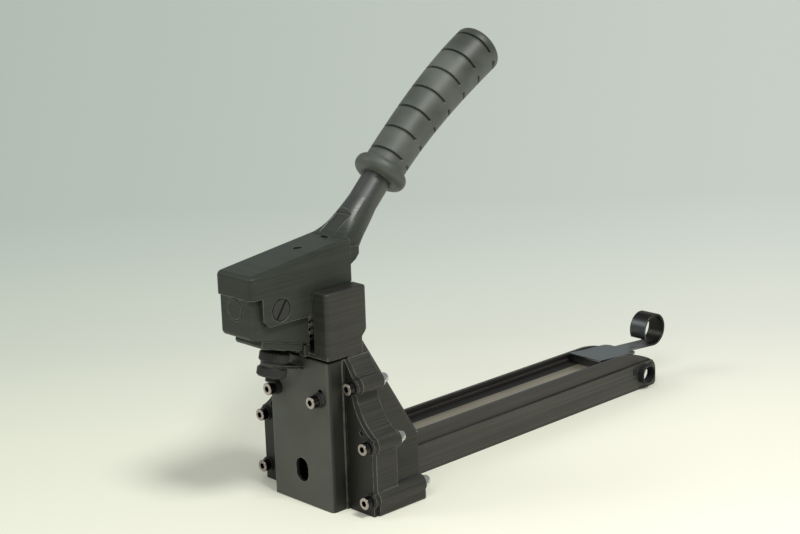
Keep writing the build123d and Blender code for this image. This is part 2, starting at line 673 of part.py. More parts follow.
def cover_spacers():
    """Black spacers between those washers and the cover."""
    rings = []
    for x in (-COVER_SCREW_X, COVER_SCREW_X):
        rings.append(ring_y(x, COVER_SCREW_Z, SPACER_RADIUS, M5_RADIUS + BOLT_GAP, -SPACER_LENGTH, 0))
    return group(rings)


def bolt_pair(place, boss_end):
    """Two long socket bolts, one on each side."""
    x, z = place
    front = BOLT_HEAD_REAR - M5_HEAD
    tip = boss_end + NUT_HEX + 0.5
    screws = []
    for side in (-x, x):
        screws.append(socket_screw(side, z, front, tip, M5_RADIUS, M5_HEAD_RADIUS, M5_HEAD))
    return group(screws)


def bolt_washers():
    """Six black washers under the long bolts' heads."""
    rings = []
    for x, z, end in all_bolts():
        rings.append(ring_y(x, z, BOLT_WASHER_RADIUS, M5_RADIUS + BOLT_GAP, BOLT_HEAD_REAR, PLATE_FRONT))
    return group(rings)


def dome_nuts():
    """Six dome nuts on the bosses."""
    nuts = []
    for x, z, end in all_bolts():
        top = end + NUT_HEX + 0.8 + NUT_DOME_RADIUS * 0.87
        dome = rod_y(x, z, NUT_DOME_RADIUS, end, top)
        rim = dome.edges().filter_by(GeomType.CIRCLE).sort_by(Axis.Y)[-1]
        dome = fillet(rim, NUT_DOME_RADIUS * 0.84)
        base = front_face(Pos(x, z) * hexagon(NUT_FLATS), end, end + NUT_HEX)
        nuts.append(base + dome - rod_y(x, z, M5_RADIUS, end - 1, end + NUT_HEX + 0.5))
    return group(nuts)


def throat_screw():
    """Slotted screw on the front plate, behind the cover's window."""
    z = throat_screw_z()
    base = PLATE_FRONT - 3.5
    head = rod_y(0, z, 5.0, base - 3.4, base)
    rim = head.edges().filter_by(GeomType.CIRCLE).sort_by(Axis.Y)[0]
    head = fillet(rim, 0.8)
    head = head - box(-6, 6, base - 5, base - 2.1, z - 0.7, z + 0.7)
    return head + rod_y(0, z, M5_RADIUS, base - 0.2, PLATE_REAR - 0.2)


def fulcrum_block():
    """Block between the lever's cheeks that carries the pivot, with its slanted sole on the adjuster."""
    block = side_slab(
        [
            (BLOCK_FRONT, BLOCK_BOTTOM),
            (BLOCK_HEEL, BLOCK_HEEL_Z),
            (BLOCK_HEEL, BLOCK_HEEL_TOP),
            (BLOCK_REAR, BLOCK_HEEL_TOP),
            (BLOCK_REAR, BLOCK_TOP),
            (BLOCK_FRONT, BLOCK_TOP),
        ],
        -BLOCK_HALF,
        BLOCK_HALF,
    )
    across = block.edges().filter_by(Axis.X)
    block = fillet(across.group_by(Axis.Y)[0].sort_by(Axis.Z)[:1], 4.0)
    block = fillet(block.edges().filter_by(Axis.Z).group_by(Axis.Y)[0], 1.5)
    room = RAM_STEM_HALF + RUN_GAP
    ram_front = RAM_HEAD_FRONT - RUN_GAP
    block = block - box(-room, room, ram_front, BLOCK_HEEL + 1, RAM_LOWEST - RUN_GAP, BLOCK_TOP + 1)
    seat = BLOCK_SEAT + 1
    sole = box(-SOLE_HALF, SOLE_HALF, SOLE_FRONT, SOLE_REAR, BLOCK_SEAT - SOLE_THICKNESS, seat)
    sole = chamfer(sole.edges().filter_by(Axis.X).group_by(Axis.Z)[0].sort_by(Axis.Y)[:1], 1.6)
    neck = rod_z(0, 0, NECK_RADIUS, NECK_BOTTOM, seat)
    block = block + on_adjuster(sole) + on_adjuster(neck)
    tenon_half = min(TENON_HALF, NECK_RADIUS)
    tenon_rear = BOX_FRONT - SEAT_GAP
    block = block + box(
        -tenon_half, tenon_half, tenon_rear - TENON_DEPTH, tenon_rear, BOX_FLOOR + PAD_GAP, BLOCK_HEEL_Z + 2
    )
    block = block - rod_x(PIVOT_Y, PIVOT_Z, PIVOT_RADIUS + PIN_GAP, -BLOCK_HALF - 1, BLOCK_HALF + 1)
    block = block - rod_y(0, PLUG_Z, PLUG_RADIUS, BLOCK_FRONT - 1, BLOCK_FRONT + 1)
    block = block - rod_y(0, PLUG_Z, PLUG_RADIUS - 2.0, BLOCK_FRONT - 1, BLOCK_FRONT + PLUG_DEPTH)
    return block - on_adjuster(rod_z(0, 0, STUD_RADIUS, NECK_BOTTOM - 1, NECK_BOTTOM + STUD_DEPTH))


def fulcrum_plug():
    """Round plug standing in the block's front face."""
    head = rod_y(0, PLUG_Z, PLUG_RADIUS - PLUG_GROOVE, BLOCK_FRONT - 0.2, BLOCK_FRONT + 1)
    return head + rod_y(0, PLUG_Z, PLUG_RADIUS - 2.0, BLOCK_FRONT - 0.2, BLOCK_FRONT + PLUG_DEPTH)


def adjuster_stud():
    """Threaded stud from the block's neck down through the lug."""
    return on_adjuster(rod_z(0, 0, STUD_RADIUS, LOWER_NUT_Z - 3.5, NECK_BOTTOM + STUD_DEPTH))


def adjuster_washer():
    """Washer between the lug and the lock nut."""
    ring = rod_z(0, 0, ADJUSTER_WASHER_RADIUS, WASHER_Z, WASHER_Z + ADJUSTER_WASHER)
    return on_adjuster(ring - rod_z(0, 0, STUD_RADIUS, WASHER_Z - 1, WASHER_Z + 5))


def knurled_nut(z, length):
    """Round nut with straight knurls, turning on the stud."""
    nut = rod_z(0, 0, KNURL_RADIUS, z, z + length)
    nut = chamfer(nut.edges().filter_by(GeomType.CIRCLE), KNURL_EDGE)
    for number in range(KNURL_COUNT):
        angle = 2 * pi * number / KNURL_COUNT
        x = (KNURL_RADIUS + 0.25) * sin(angle)
        y = (KNURL_RADIUS + 0.25) * cos(angle)
        nut = nut - rod_z(x, y, 0.62, z - 1, z + length + 1)
    return on_adjuster(nut - rod_z(0, 0, STUD_RADIUS + PIN_GAP, z - 1, z + length + 1))


def lever_top(y):
    """Height of the lever's top surface."""
    return LEVER_TOP_Z + (y - LEVER_FRONT) * tan(radians(LEVER_TOP_SLOPE))


def handle_bend():
    """Start of the handle's bend as (y, z)."""
    angle = radians(ARM_ANGLE)
    return ARM_START_Y + TUBE_STRAIGHT * cos(angle), ARM_START_Z + TUBE_STRAIGHT * sin(angle)


def handle_plane(distance):
    """Plane across the bent handle at a distance along it from the bend."""
    bend_y, bend_z = handle_bend()
    start = radians(ARM_ANGLE)
    angle = start - distance / BEND_RADIUS
    centre_y = bend_y + BEND_RADIUS * sin(start)
    centre_z = bend_z - BEND_RADIUS * cos(start)
    y = centre_y - BEND_RADIUS * sin(angle)
    z = centre_z + BEND_RADIUS * cos(angle)
    return Plane(origin=(0, y, z), x_dir=(1, 0, 0), z_dir=(0, cos(angle), sin(angle)))


def handle_path(first, length):
    """Middle line of the tube: straight from a distance past the arm's start, then bent."""
    bend_y, bend_z = handle_bend()
    angle = radians(ARM_ANGLE)
    start = (0, ARM_START_Y + first * cos(angle), ARM_START_Z + first * sin(angle))
    straight = Line(start, (0, bend_y, bend_z))
    middle = handle_plane(length / 2).origin
    end = handle_plane(length).origin
    return Wire([straight.edge(), ThreePointArc((0, bend_y, bend_z), middle, end).edge()])


def lever():
    """Pressed channel over the block with the handle's tube."""
    head = side_slab(
        [
            (LEVER_FRONT, LEVER_SKIRT_Z),
            (LEVER_FRONT, lever_top(LEVER_FRONT)),
            (LEVER_REAR, lever_top(LEVER_REAR)),
            (LEVER_REAR, LEVER_CHEEK_Z + 16),
            (-4, LEVER_CHEEK_Z),
            (LEVER_CHEEK_FRONT + 4.5, LEVER_CHEEK_Z),
            (LEVER_CHEEK_FRONT, LEVER_CHEEK_Z + 4.5),
            (LEVER_CHEEK_FRONT, LEVER_SKIRT_Z),
        ],
        -LEVER_HALF,
        LEVER_HALF,
    )
    front = head.faces().sort_by(Axis.Y)[0]
    top = head.faces().sort_by(Axis.Z)[-1]
    upright = [e for e in front.edges() if e.bounding_box().size.Z > 5]
    long_edges = [e for e in top.edges() if e.bounding_box().size.Y > 5]
    front_top = [e for e in front.edges() if e.center().Z > LEVER_SKIRT_Z + 5 and e.bounding_box().size.X > 5]
    head = fillet(upright + long_edges + front_top, LEVER_EDGE)
    inner_front = LEVER_FRONT + LEVER_WALL + 0.1
    inner_rear = LEVER_REAR - 5.2
    drop = LEVER_WALL / cos(radians(LEVER_TOP_SLOPE))
    room = side_slab(
        [
            (inner_front, LEVER_CHEEK_Z - 10),
            (inner_front, lever_top(inner_front) - drop),
            (inner_rear, lever_top(inner_rear) - drop),
            (inner_rear, LEVER_CHEEK_Z - 10),
        ],
        -LEVER_INSIDE,
        LEVER_INSIDE,
    )
    root_angle = radians(ARM_ROOT_ANGLE)
    root_plane = Plane(
        origin=(0, ARM_ROOT_Y, ARM_ROOT_Z), x_dir=(1, 0, 0), z_dir=(0, cos(root_angle), sin(root_angle))
    )
    angle = radians(ARM_ANGLE)
    tube_plane = Plane(origin=(0, ARM_START_Y, ARM_START_Z), x_dir=(1, 0, 0), z_dir=(0, cos(angle), sin(angle)))
    root = RectangleRounded(2 * LEVER_HALF - 0.2, ARM_ROOT_HEIGHT, 5.0)
    neck_plane = tube_plane.offset(ARM_NECK)
    arm = loft([root_plane * root, tube_plane * Circle(ARM_NECK_RADIUS), neck_plane * Circle(TUBE_RADIUS)])
    end = GRIP_LENGTH - GRIP_CAP
    tube = sweep(neck_plane * Circle(TUBE_RADIUS), path=handle_path(ARM_NECK, end))
    hollow = sweep(neck_plane * Circle(TUBE_RADIUS - TUBE_WALL), path=handle_path(ARM_NECK, end))
    body = (head - room) + ((arm + arm_gusset()) - room) + tube - hollow
    body = body - arm_recess()
    hole_top = lever_top(LEVER_HOLE_Y)
    body = body - rod_z(0, LEVER_HOLE_Y, LEVER_HOLE_RADIUS, hole_top - 8, hole_top + 5)
    body = body - rod_x(PIVOT_Y, PIVOT_Z, PIVOT_RADIUS, -LEVER_HALF - 1, LEVER_HALF + 1)
    counterbore = rod_x(PIVOT_Y, PIVOT_Z, PIVOT_HEAD_RADIUS + 0.8, LEVER_HALF - PIVOT_HEAD, LEVER_HALF + 1)
    body = body - both_sides(counterbore)
    return body - rod_x(DRIVE_Y, DRIVE_Z, DRIVE_PIN_RADIUS, -drive_pin_half(), drive_pin_half())


def drive_pin_half():
    """The drive pin ends inside the lever's cheeks."""
    return LEVER_INSIDE + 0.6 * LEVER_WALL


def arm_gusset():
    """Wedge under the arm's root where it leaves the channel's rear end."""
    return side_slab(
        [
            (LEVER_REAR - 1.2, ARM_ROOT_Z - 9.2),
            (LEVER_REAR, ARM_ROOT_Z - 9.2),
            (LEVER_REAR + 4.8, ARM_ROOT_Z - 6.4),
            (LEVER_REAR + 7.8, ARM_ROOT_Z - 2.9),
            (LEVER_REAR + 7.8, ARM_ROOT_Z + 2.6),
            (LEVER_REAR - 1.2, ARM_ROOT_Z + 2.6),
        ],
        -LEVER_HALF + 0.1,
        LEVER_HALF - 0.1,
    )


def arm_recess():
    """Hollow between the two folded flaps on the arm's top and the cross slot at its root."""
    angle = radians(ARM_ANGLE)
    up_y = -sin(angle)
    up_z = cos(angle)
    root = LEVER_REAR - 7.0
    deep = ARM_NECK_RADIUS - RECESS_DEPTH
    deep_point = (ARM_START_Y + deep * up_y, ARM_START_Z + deep * up_z)
    end_y = ARM_START_Y + RECESS_DEPTH * cos(angle) + ARM_NECK_RADIUS * up_y
    end_z = ARM_START_Z + RECESS_DEPTH * sin(angle) + ARM_NECK_RADIUS * up_z
    outline = [
        (root, lever_top(root) - 0.1),
        deep_point,
        (end_y, end_z),
        (end_y + 12 * up_y, end_z + 12 * up_z),
        (root + 12 * up_y, lever_top(root) + 12 * up_z),
    ]
    recess = side_slab(outline, -RECESS_HALF, RECESS_HALF)
    slot = SlotOverall(ROOT_SLOT_LENGTH, ROOT_SLOT_WIDTH)
    hole = extrude(Pos(0, root - 0.2, lever_top(LEVER_REAR) - 9) * slot, amount=12)
    return recess + hole


def pivot_pin():
    """Pivot with a slotted head in each cheek."""
    pin = rod_x(PIVOT_Y, PIVOT_Z, PIVOT_RADIUS, -LEVER_HALF + 0.2, LEVER_HALF - 0.2)
    for side in (-1, 1):
        ends = sorted((side * (LEVER_HALF - PIVOT_HEAD), side * (LEVER_HALF - 0.1)))
        pin = pin + rod_x(PIVOT_Y, PIVOT_Z, PIVOT_HEAD_RADIUS, *ends)
        slot = Pos(side * LEVER_HALF, PIVOT_Y, PIVOT_Z) * Rot(55, 0, 0) * Box(2.2, 20, 1.8)
        pin = pin - slot
    return pin


def drive_pin():
    """Pin across the lever that pushes the ram."""
    return rod_x(DRIVE_Y, DRIVE_Z, DRIVE_PIN_RADIUS, -drive_pin_half(), drive_pin_half())


def grip_radius(distance):
    """Radius of the grip along the handle."""
    part_way = (distance - COLLAR_LENGTH) / (GRIP_LENGTH - COLLAR_LENGTH)
    part_way = max(0.0, min(1.0, part_way))
    eased = part_way * part_way * (3 - 2 * part_way)
    return GRIP_NECK_RADIUS + (GRIP_END_RADIUS - GRIP_NECK_RADIUS) * eased


def handle_grip():
    """Rubber grip with a collar and broken ring grooves."""
    body_start = COLLAR_LENGTH - 3
    stations = [body_start + (GRIP_LENGTH - body_start) * part / 5 for part in range(6)]
    rings = [handle_plane(s) * Circle(grip_radius(s)) for s in stations]
    grip = loft(rings)
    end_edge = grip.edges().sort_by(Axis.Y)[-1]
    grip = fillet(end_edge, 3.5)
    collar = extrude(handle_plane(0) * Circle(COLLAR_RADIUS), amount=COLLAR_LENGTH)
    collar = fillet(collar.edges().filter_by(GeomType.CIRCLE), 4.6)
    grip = grip + collar
    bore = sweep(handle_plane(0) * Circle(TUBE_RADIUS), path=grip_bore_path())
    grip = grip - bore
    for number in range(GROOVE_COUNT):
        distance = GROOVE_FIRST + number * GROOVE_STEP
        radius = grip_radius(distance)
        plane = handle_plane(distance)
        ring = extrude(plane * (Circle(radius + 2) - Circle(radius - GROOVE_DEPTH)), amount=GROOVE_WIDTH)
        for turn in (7, 173):
            angle = radians(turn)
            place = (radius * cos(angle), radius * sin(angle))
            bar = Pos(*place) * Rot(0, 0, turn) * Rectangle(8, GROOVE_BRIDGE)
            ring = ring - extrude(plane * bar, amount=GROOVE_WIDTH)
        grip = grip - ring
    return grip


def grip_bore_path():
    """Middle line of the tube inside the grip."""
    length = GRIP_LENGTH - GRIP_CAP
    points = [handle_plane(s).origin for s in (0, length / 2, length)]
    return Wire([ThreePointArc(*points).edge()])


def ram():
    """Carrier between the lever's pin and the driver, running in the front plate."""
    guide = box(-RAM_GUIDE_HALF, RAM_GUIDE_HALF, RAM_FRONT, RAM_REAR, RAM_BOTTOM, RAM_SHOULDER)
    stem = box(-RAM_STEM_HALF, RAM_STEM_HALF, RAM_FRONT, RAM_REAR, RAM_SHOULDER - 1, RAM_HEAD_BOTTOM + 1)
    head = box(-RAM_STEM_HALF, RAM_STEM_HALF, RAM_HEAD_FRONT, RAM_REAR, RAM_HEAD_BOTTOM, RAM_HEAD_TOP)
    head = fillet(head.edges().filter_by(Axis.X).group_by(Axis.Y)[0], 2.0)
    body = guide + stem + head
    straight = DRIVE_SLOT_REAR - DRIVE_SLOT_FRONT
    slot = SlotOverall(straight, 2 * DRIVE_SLOT_HALF)
    middle = (DRIVE_SLOT_FRONT + DRIVE_SLOT_REAR) / 2
    cut = Plane.YZ.offset(-RAM_STEM_HALF - 1) * (Pos(middle, DRIVE_Z) * slot)
    body = body - extrude(cut, amount=2 * RAM_STEM_HALF + 2)
    for x in (-YOKE_SCREW_X, YOKE_SCREW_X):
        body = body - rod_y(x, yoke_screw_z(), YOKE_SCREW_RADIUS, RAM_FRONT - 1, RAM_REAR + 1)
    return body


def yoke_screw_z():
    """Height of the two screws through ram, driver and yoke."""
    return RAM_BOTTOM + YOKE_HEIGHT / 2


def driver_blade():
    """Flat blade that pushes one staple out of the throat."""
    bottom = CORE_TOP - 0.5
    top = max(bottom + DRIVER_LENGTH, RAM_BOTTOM + YOKE_HEIGHT)
    seat = min(RAM_GUIDE_HALF, DRIVER_HALF)
    blade = box(-seat, seat, RAM_REAR, DRIVER_FRONT + DRIVER_THICKNESS, RAM_BOTTOM, top)
    blade = blade + box(-DRIVER_HALF, DRIVER_HALF, DRIVER_FRONT, DRIVER_FRONT + DRIVER_THICKNESS, bottom, top)
    for x in (-YOKE_SCREW_X, YOKE_SCREW_X):
        blade = blade - rod_y(x, yoke_screw_z(), YOKE_SCREW_RADIUS, RAM_REAR - 1, CORE_FRONT + 1)
    return blade


def yoke_leg():
    """Inner and outer side of the yoke's leg, outside the clincher's hub."""
    leg_in = CLINCH_PIVOT_X + CLINCH_HUB - 1.0
    return leg_in, leg_in + 5.0


def clincher_yoke():
    """Crosshead on the ram whose forked ends swing the clinchers."""
    top = RAM_BOTTOM + YOKE_HEIGHT
    centre_half = DRIVER_HALF - 1.5
    driver_back = DRIVER_FRONT + DRIVER_THICKNESS
    body = box(-centre_half, centre_half, driver_back, YOKE_REAR, RAM_BOTTOM, top)
    leg_in, leg_out = yoke_leg()
    jaw_end = TAIL_REACH - 0.9
    low = TAIL_Z - YOKE_SLOT_HALF - YOKE_JAW
    high = TAIL_Z + YOKE_SLOT_HALF + YOKE_JAW
    arm = box(0, leg_out, YOKE_FRONT, YOKE_REAR, RAM_BOTTOM, top)
    leg = box(leg_in, leg_out, YOKE_FRONT, YOKE_REAR, low, top)
    upper = box(leg_in, jaw_end, YOKE_FRONT, YOKE_REAR, high - YOKE_JAW, high)
    lower = box(leg_in, jaw_end, YOKE_FRONT, YOKE_REAR, low, low + YOKE_JAW)
    side = arm + leg + upper + lower
    body = body + side + mirror(side, about=Plane.YZ)
    for x in (-YOKE_SCREW_X, YOKE_SCREW_X):
        body = body - rod_y(x, yoke_screw_z(), YOKE_SCREW_RADIUS, driver_back - 1, YOKE_REAR - 0.6)
    return body


def yoke_screws():
    """Two socket screws that hold driver and yoke to the ram."""
    screws = []
    for x in (-YOKE_SCREW_X, YOKE_SCREW_X):
        screws.append(
            socket_screw(x, yoke_screw_z(), RAM_FRONT - 3.0, YOKE_REAR - 0.8, YOKE_SCREW_RADIUS, 3.5, 3.0)
        )
    return group(screws)


def clincher(side):
    """Curved claw on its pivot, drawn for one side."""
    outer = CLINCH_RADIUS + CLINCH_BAR / 2
    inner = CLINCH_RADIUS - CLINCH_BAR / 2
    outline = []
    steps = 14
    for number in range(steps + 1):
        angle = radians(HOOK_START + (HOOK_END - HOOK_START) * number / steps)
        outline.append((outer * cos(angle), outer * sin(angle)))
    for number in range(steps, -1, -1):
        angle = radians(HOOK_START + (HOOK_END - HOOK_START) * number / steps)
        thin = max(0.0, (number / steps - 0.45) / 0.55)
        reach = inner + thin * (CLINCH_BAR - 0.8)
        outline.append((reach * cos(angle), reach * sin(angle)))
    hook = make_face(Polyline(*outline, close=True))
    spoke = Rot(0, 0, 5) * Pos(CLINCH_RADIUS / 2, 0) * Rectangle(CLINCH_RADIUS, 7)
    tail_turn = CLINCH_SWING / 2
    tail = Rot(0, 0, tail_turn) * Pos(TAIL_RADIUS / 2, 0) * Rectangle(TAIL_RADIUS, 6)
    tail_end = Rot(0, 0, tail_turn) * Pos(TAIL_RADIUS, 0) * Circle(TAIL_PIN_RADIUS + 0.9)
    shape = hook + spoke + tail + tail_end + Circle(CLINCH_HUB)
    shape = shape - Circle(CLINCH_PIN_RADIUS + PIN_GAP)
    shape = shape - Rot(0, 0, tail_turn) * Pos(TAIL_RADIUS, 0) * Circle(TAIL_PIN_RADIUS)
    claw = front_face(Pos(CLINCH_PIVOT_X, CLINCH_PIVOT_Z) * shape, CLINCH_FRONT, CLINCH_REAR)
    return claw if side > 0 else mirror(claw, about=Plane.YZ)


def tail_pin(side):
    """Pin in the clincher's tail, inside the yoke's fork."""
    return rod_y(side * TAIL_X, TAIL_Z, TAIL_PIN_RADIUS, CLINCH_FRONT, YOKE_REAR - 0.2)


def clincher_pins():
    """Two pivots from the front plate to the casting's back wall."""
    pins = []
    for x in (-CLINCH_PIVOT_X, CLINCH_PIVOT_X):
        pins.append(rod_y(x, CLINCH_PIVOT_Z, CLINCH_PIN_RADIUS, PLATE_FRONT, HOUSING_REAR - 2.5))
    return group(pins)


def coil_path(radius, pitch, turns, start):
    """Helix as tangent arcs, two for each quarter turn."""

    def point(turn):
        angle = 2 * pi * turn
        return start + Vector(radius * cos(angle), radius * sin(angle), pitch * turn)

    def heading(turn):
        angle = 2 * pi * turn
        return Vector(-radius * sin(angle), radius * cos(angle), pitch / (2 * pi)).normalized()

    edges = []
    for number in range(int(turns * 4)):
        first = number / 4
        last = first + 0.25
        p0 = point(first)
        p1 = point(last)
        t0 = heading(first)
        t1 = heading(last)
        across = p1 - p0
        total = t0 + t1
        spread = 2 * (1 - t0.dot(t1))
        along = across.dot(total)
        reach = (-along + sqrt(along * along + spread * across.dot(across))) / spread
        knot_a = p0 + t0 * reach
        knot_b = p1 - t1 * reach
        joint = (knot_a + knot_b) * 0.5
        middle = (knot_b - knot_a).normalized()
        edges.append(Edge.make_tangent_arc(p0, t0, joint))
        edges.append(Edge.make_tangent_arc(joint, middle, p1))
    return Wire(edges), heading(0)


def least_gap(pitch, start):
    """Least clear distance between one turn of the spring and the next, on sampled points."""
    count = 48
    points = []
    for number in range(count * SPRING_TURNS + 1):
        angle = 2 * pi * number / count
        points.append(start + Vector(SPRING_RADIUS * cos(angle), SPRING_RADIUS * sin(angle), pitch * number / count))
    gaps = []
    for number, point in enumerate(points):
        for other in points[number + count // 2 :]:
            gaps.append((other - point).length - 2 * SPRING_WIRE)
    return min(gaps)


def return_spring():
    """Compression spring between the casting's floor and the ram's head."""
    length = RAM_HEAD_BOTTOM - BOX_FLOOR
    pitch = (length - 2 * SPRING_WIRE) / SPRING_TURNS
    start = Vector(0, SPRING_Y, BOX_FLOOR + SPRING_WIRE)
    path, first = coil_path(SPRING_RADIUS, pitch, SPRING_TURNS, start)
    begin = start + Vector(SPRING_RADIUS, 0, 0)
    print("return spring least gap between turns", round(least_gap(pitch, start), 2))
    return sweep(Plane(origin=begin, z_dir=first) * Circle(SPRING_WIRE), path=path)


def spring_guide():
    """Short rod that keeps the spring upright."""
    rod = rod_z(0, SPRING_Y, GUIDE_ROD_RADIUS, BOX_BOTTOM, BOX_FLOOR + GUIDE_ROD_LENGTH)
    top = rod.edges().filter_by(GeomType.CIRCLE).sort_by(Axis.Z)[-1]
    return chamfer(top, 0.8)


def magazine_side(height, x0, x1):
    """Side outline of the magazine with its rounded rear end."""
    slope_z = RAIL_HEIGHT
    shape = [
        Line((MAGAZINE_FRONT, 0), (MAGAZINE_END - TAIL_FOOT_ROUND, 0)).edge(),
        ThreePointArc(
            (MAGAZINE_END - TAIL_FOOT_ROUND, 0),
            (MAGAZINE_END - TAIL_FOOT_INSET, TAIL_FOOT_INSET),
            (MAGAZINE_END, TAIL_FOOT_ROUND),
        ).edge(),
        Line((MAGAZINE_END, TAIL_FOOT_ROUND), (MAGAZINE_END, TAIL_STRAIGHT)).edge(),
        ThreePointArc(
            (MAGAZINE_END, TAIL_STRAIGHT),
            (MAGAZINE_END - TAIL_SHOULDER_INSET, TAIL_SHOULDER_Z),
            (MAGAZINE_END - TAIL_CURVE_INSET, TAIL_CURVE_Z),
        ).edge(),
        ThreePointArc(
            (MAGAZINE_END - TAIL_CURVE_INSET, TAIL_CURVE_Z),
            (MAGAZINE_END - TAIL_SLOPE_INSET, slope_z - TAIL_SLOPE_DROP),
            (MAGAZINE_SLOPE_Y, slope_z),
        ).edge(),
        Line((MAGAZINE_SLOPE_Y, slope_z), (MAGAZINE_FRONT, slope_z)).edge(),
        Line((MAGAZINE_FRONT, slope_z), (MAGAZINE_FRONT, 0)).edge(),
    ]
    face = make_face(shape)
    slab = extrude(Plane.YZ.offset(x0) * face, amount=x1 - x0)
    return slab & box(-MAGAZINE_SIDE_REACH, MAGAZINE_SIDE_REACH, 0, MAGAZINE_REACH, 0, height)


def rear_hole(radius):
    """Cross hole at the magazine's rear end, in line with the two bushes."""
    return rod_x(REAR_HOLE_Y, REAR_HOLE_Z, radius, -MAGAZINE_SIDE_REACH, MAGAZINE_SIDE_REACH)


def magazine_floor():
    """Stepped strip between the side plates that carries rails and core, open at the rear."""
    rear = REAR_HOLE_Y - TAIL_FLOOR_GAP
    lower = box(-CHANNEL_INSIDE, CHANNEL_INSIDE, MAGAZINE_FRONT, rear, 0, CHANNEL_WALL)
    step = CHANNEL_WALL + RAIL_FLOOR
    return lower + box(-RAIL_INSIDE, RAIL_INSIDE, MAGAZINE_FRONT, rear, 0, step)


def magazine_sides():
    """The two outer side plates of the magazine."""
    plate = magazine_side(CHANNEL_HEIGHT, CHANNEL_INSIDE, CHANNEL_OUTSIDE) - rear_hole(BUSH_SHANK_RADIUS)
    place = (CHANNEL_INSIDE - 1, CHANNEL_OUTSIDE + 1)
    for y, z in rivet_places():
        plate = plate - rod_x(y, z, RIVET_RADIUS, *place)
    plate = plate - rod_x(MAGAZINE_SCREW_Y, MAGAZINE_SCREW_Z, MAGAZINE_SCREW_RADIUS, *place)
    return group([plate, mirror(plate, about=Plane.YZ)])


def magazine_rails():
    """The two inner rails whose grooves guide the pusher, cut away behind the bushes' bores."""
    rail = magazine_side(RAIL_HEIGHT, RAIL_INSIDE, RAIL_OUTSIDE) - rear_hole(BUSH_ROOM_RADIUS)
    rail = rail - box(0, MAGAZINE_SIDE_REACH, 0, MAGAZINE_REACH, -1, CHANNEL_WALL)
    clear_top = REAR_RIVET_Z - 2 * RIVET_HEAD_RADIUS
    rail = rail - box(0, MAGAZINE_SIDE_REACH, REAR_HOLE_Y, MAGAZINE_REACH, -1, clear_top)
    groove_end = MAGAZINE_SLOPE_Y + 6
    groove_top = RAIL_GROOVE_Z + RAIL_GROOVE_HEIGHT
    deep = RAIL_INSIDE + RAIL_GROOVE_DEPTH
    rail = rail - box(0, deep, MAGAZINE_FRONT - 1, groove_end, RAIL_GROOVE_Z, groove_top)
    for y, z in rivet_places():
        rail = rail - rod_x(y, z, RIVET_RADIUS, RAIL_INSIDE - 1, RAIL_OUTSIDE + 1)
    return group([rail, mirror(rail, about=Plane.YZ)])


def rear_bushes():
    """Two knurled bushes in the magazine's rear end, each with a plain bore."""
    outer_end = CHANNEL_OUTSIDE + BUSH_LENGTH
    barrel = rod_x(REAR_HOLE_Y, REAR_HOLE_Z, BUSH_RADIUS, CHANNEL_OUTSIDE, outer_end)
    rim = barrel.edges().filter_by(GeomType.CIRCLE).sort_by(Axis.X)[-1]
    barrel = chamfer(rim, 0.5)
    for number in range(BUSH_KNURLS):
        angle = 2 * pi * number / BUSH_KNURLS
        y = REAR_HOLE_Y + (BUSH_RADIUS + 0.2) * cos(angle)
        z = REAR_HOLE_Z + (BUSH_RADIUS + 0.2) * sin(angle)
        barrel = barrel - rod_x(y, z, 0.6, CHANNEL_OUTSIDE + 0.8, outer_end + 1)
    bush = barrel + rod_x(REAR_HOLE_Y, REAR_HOLE_Z, BUSH_SHANK_RADIUS, CHANNEL_INSIDE, CHANNEL_OUTSIDE + 0.5)
    bush = bush - rod_x(REAR_HOLE_Y, REAR_HOLE_Z, REAR_HOLE_RADIUS, CHANNEL_INSIDE - 1, outer_end + 1)
    return group([bush, mirror(bush, about=Plane.YZ)])


def rivet_places():
    """Places of the rivets through side plates and rails as (y, z)."""
    return [(REAR_HOLE_Y - RIVET_AHEAD, FRONT_RIVET_Z), (REAR_HOLE_Y + RIVET_BEHIND, REAR_RIVET_Z)]


def magazine_rivets():
    """Four flat rivets that join side plates and rails."""
    rivets = []
    for side in (-1, 1):
        for y, z in rivet_places():
            shank = sorted((side * RAIL_INSIDE, side * CHANNEL_OUTSIDE))
            head = sorted((side * CHANNEL_OUTSIDE, side * (CHANNEL_OUTSIDE + RIVET_HEAD)))
            rivets.append(rod_x(y, z, RIVET_RADIUS, *shank) + rod_x(y, z, RIVET_HEAD_RADIUS, *head))
    return group(rivets)


def magazine_screws():
    """Two short screws from the sleeve into the side plates."""
    screws = []
    for side in (-1, 1):
        ends = sorted((side * CHANNEL_INSIDE, side * (HOLDER_HALF - 0.4)))
        screw = rod_x(MAGAZINE_SCREW_Y, MAGAZINE_SCREW_Z, MAGAZINE_SCREW_RADIUS, *ends)
        end = Pos(side * (HOLDER_HALF - 0.4), MAGAZINE_SCREW_Y, MAGAZINE_SCREW_Z)
        slot = end * Box(1.6, 2.4 * MAGAZINE_SCREW_RADIUS, 0.36 * MAGAZINE_SCREW_RADIUS)
        screws.append(screw - slot)
    return group(screws)


def magazine_core():
    """Bar inside the rails that carries the staples' crowns."""
    floor = CHANNEL_WALL + RAIL_FLOOR
    body = box(-CORE_HALF, CORE_HALF, CORE_FRONT, CORE_END, floor, CORE_TOP)
    inside = CORE_HALF - CORE_WALL
    body = body - box(-inside, inside, CORE_FRONT + 6, CORE_END + 1, floor - 1, CORE_TOP - CORE_WALL - 1)
    groove = RIBBON_HALF + SEAT_GAP
    bed = RIBBON_TOP - RIBBON_THICKNESS
    return body - box(-groove, groove, RIBBON_START - 1, CORE_END + 1, bed, CORE_TOP + 1)


def ribbon_spring():
    """Flat ribbon that draws the pusher forward, lying in the core's groove."""
    bed = RIBBON_TOP - RIBBON_THICKNESS
    return box(-RIBBON_HALF, RIBBON_HALF, RIBBON_START, COIL_Y, bed, RIBBON_TOP)


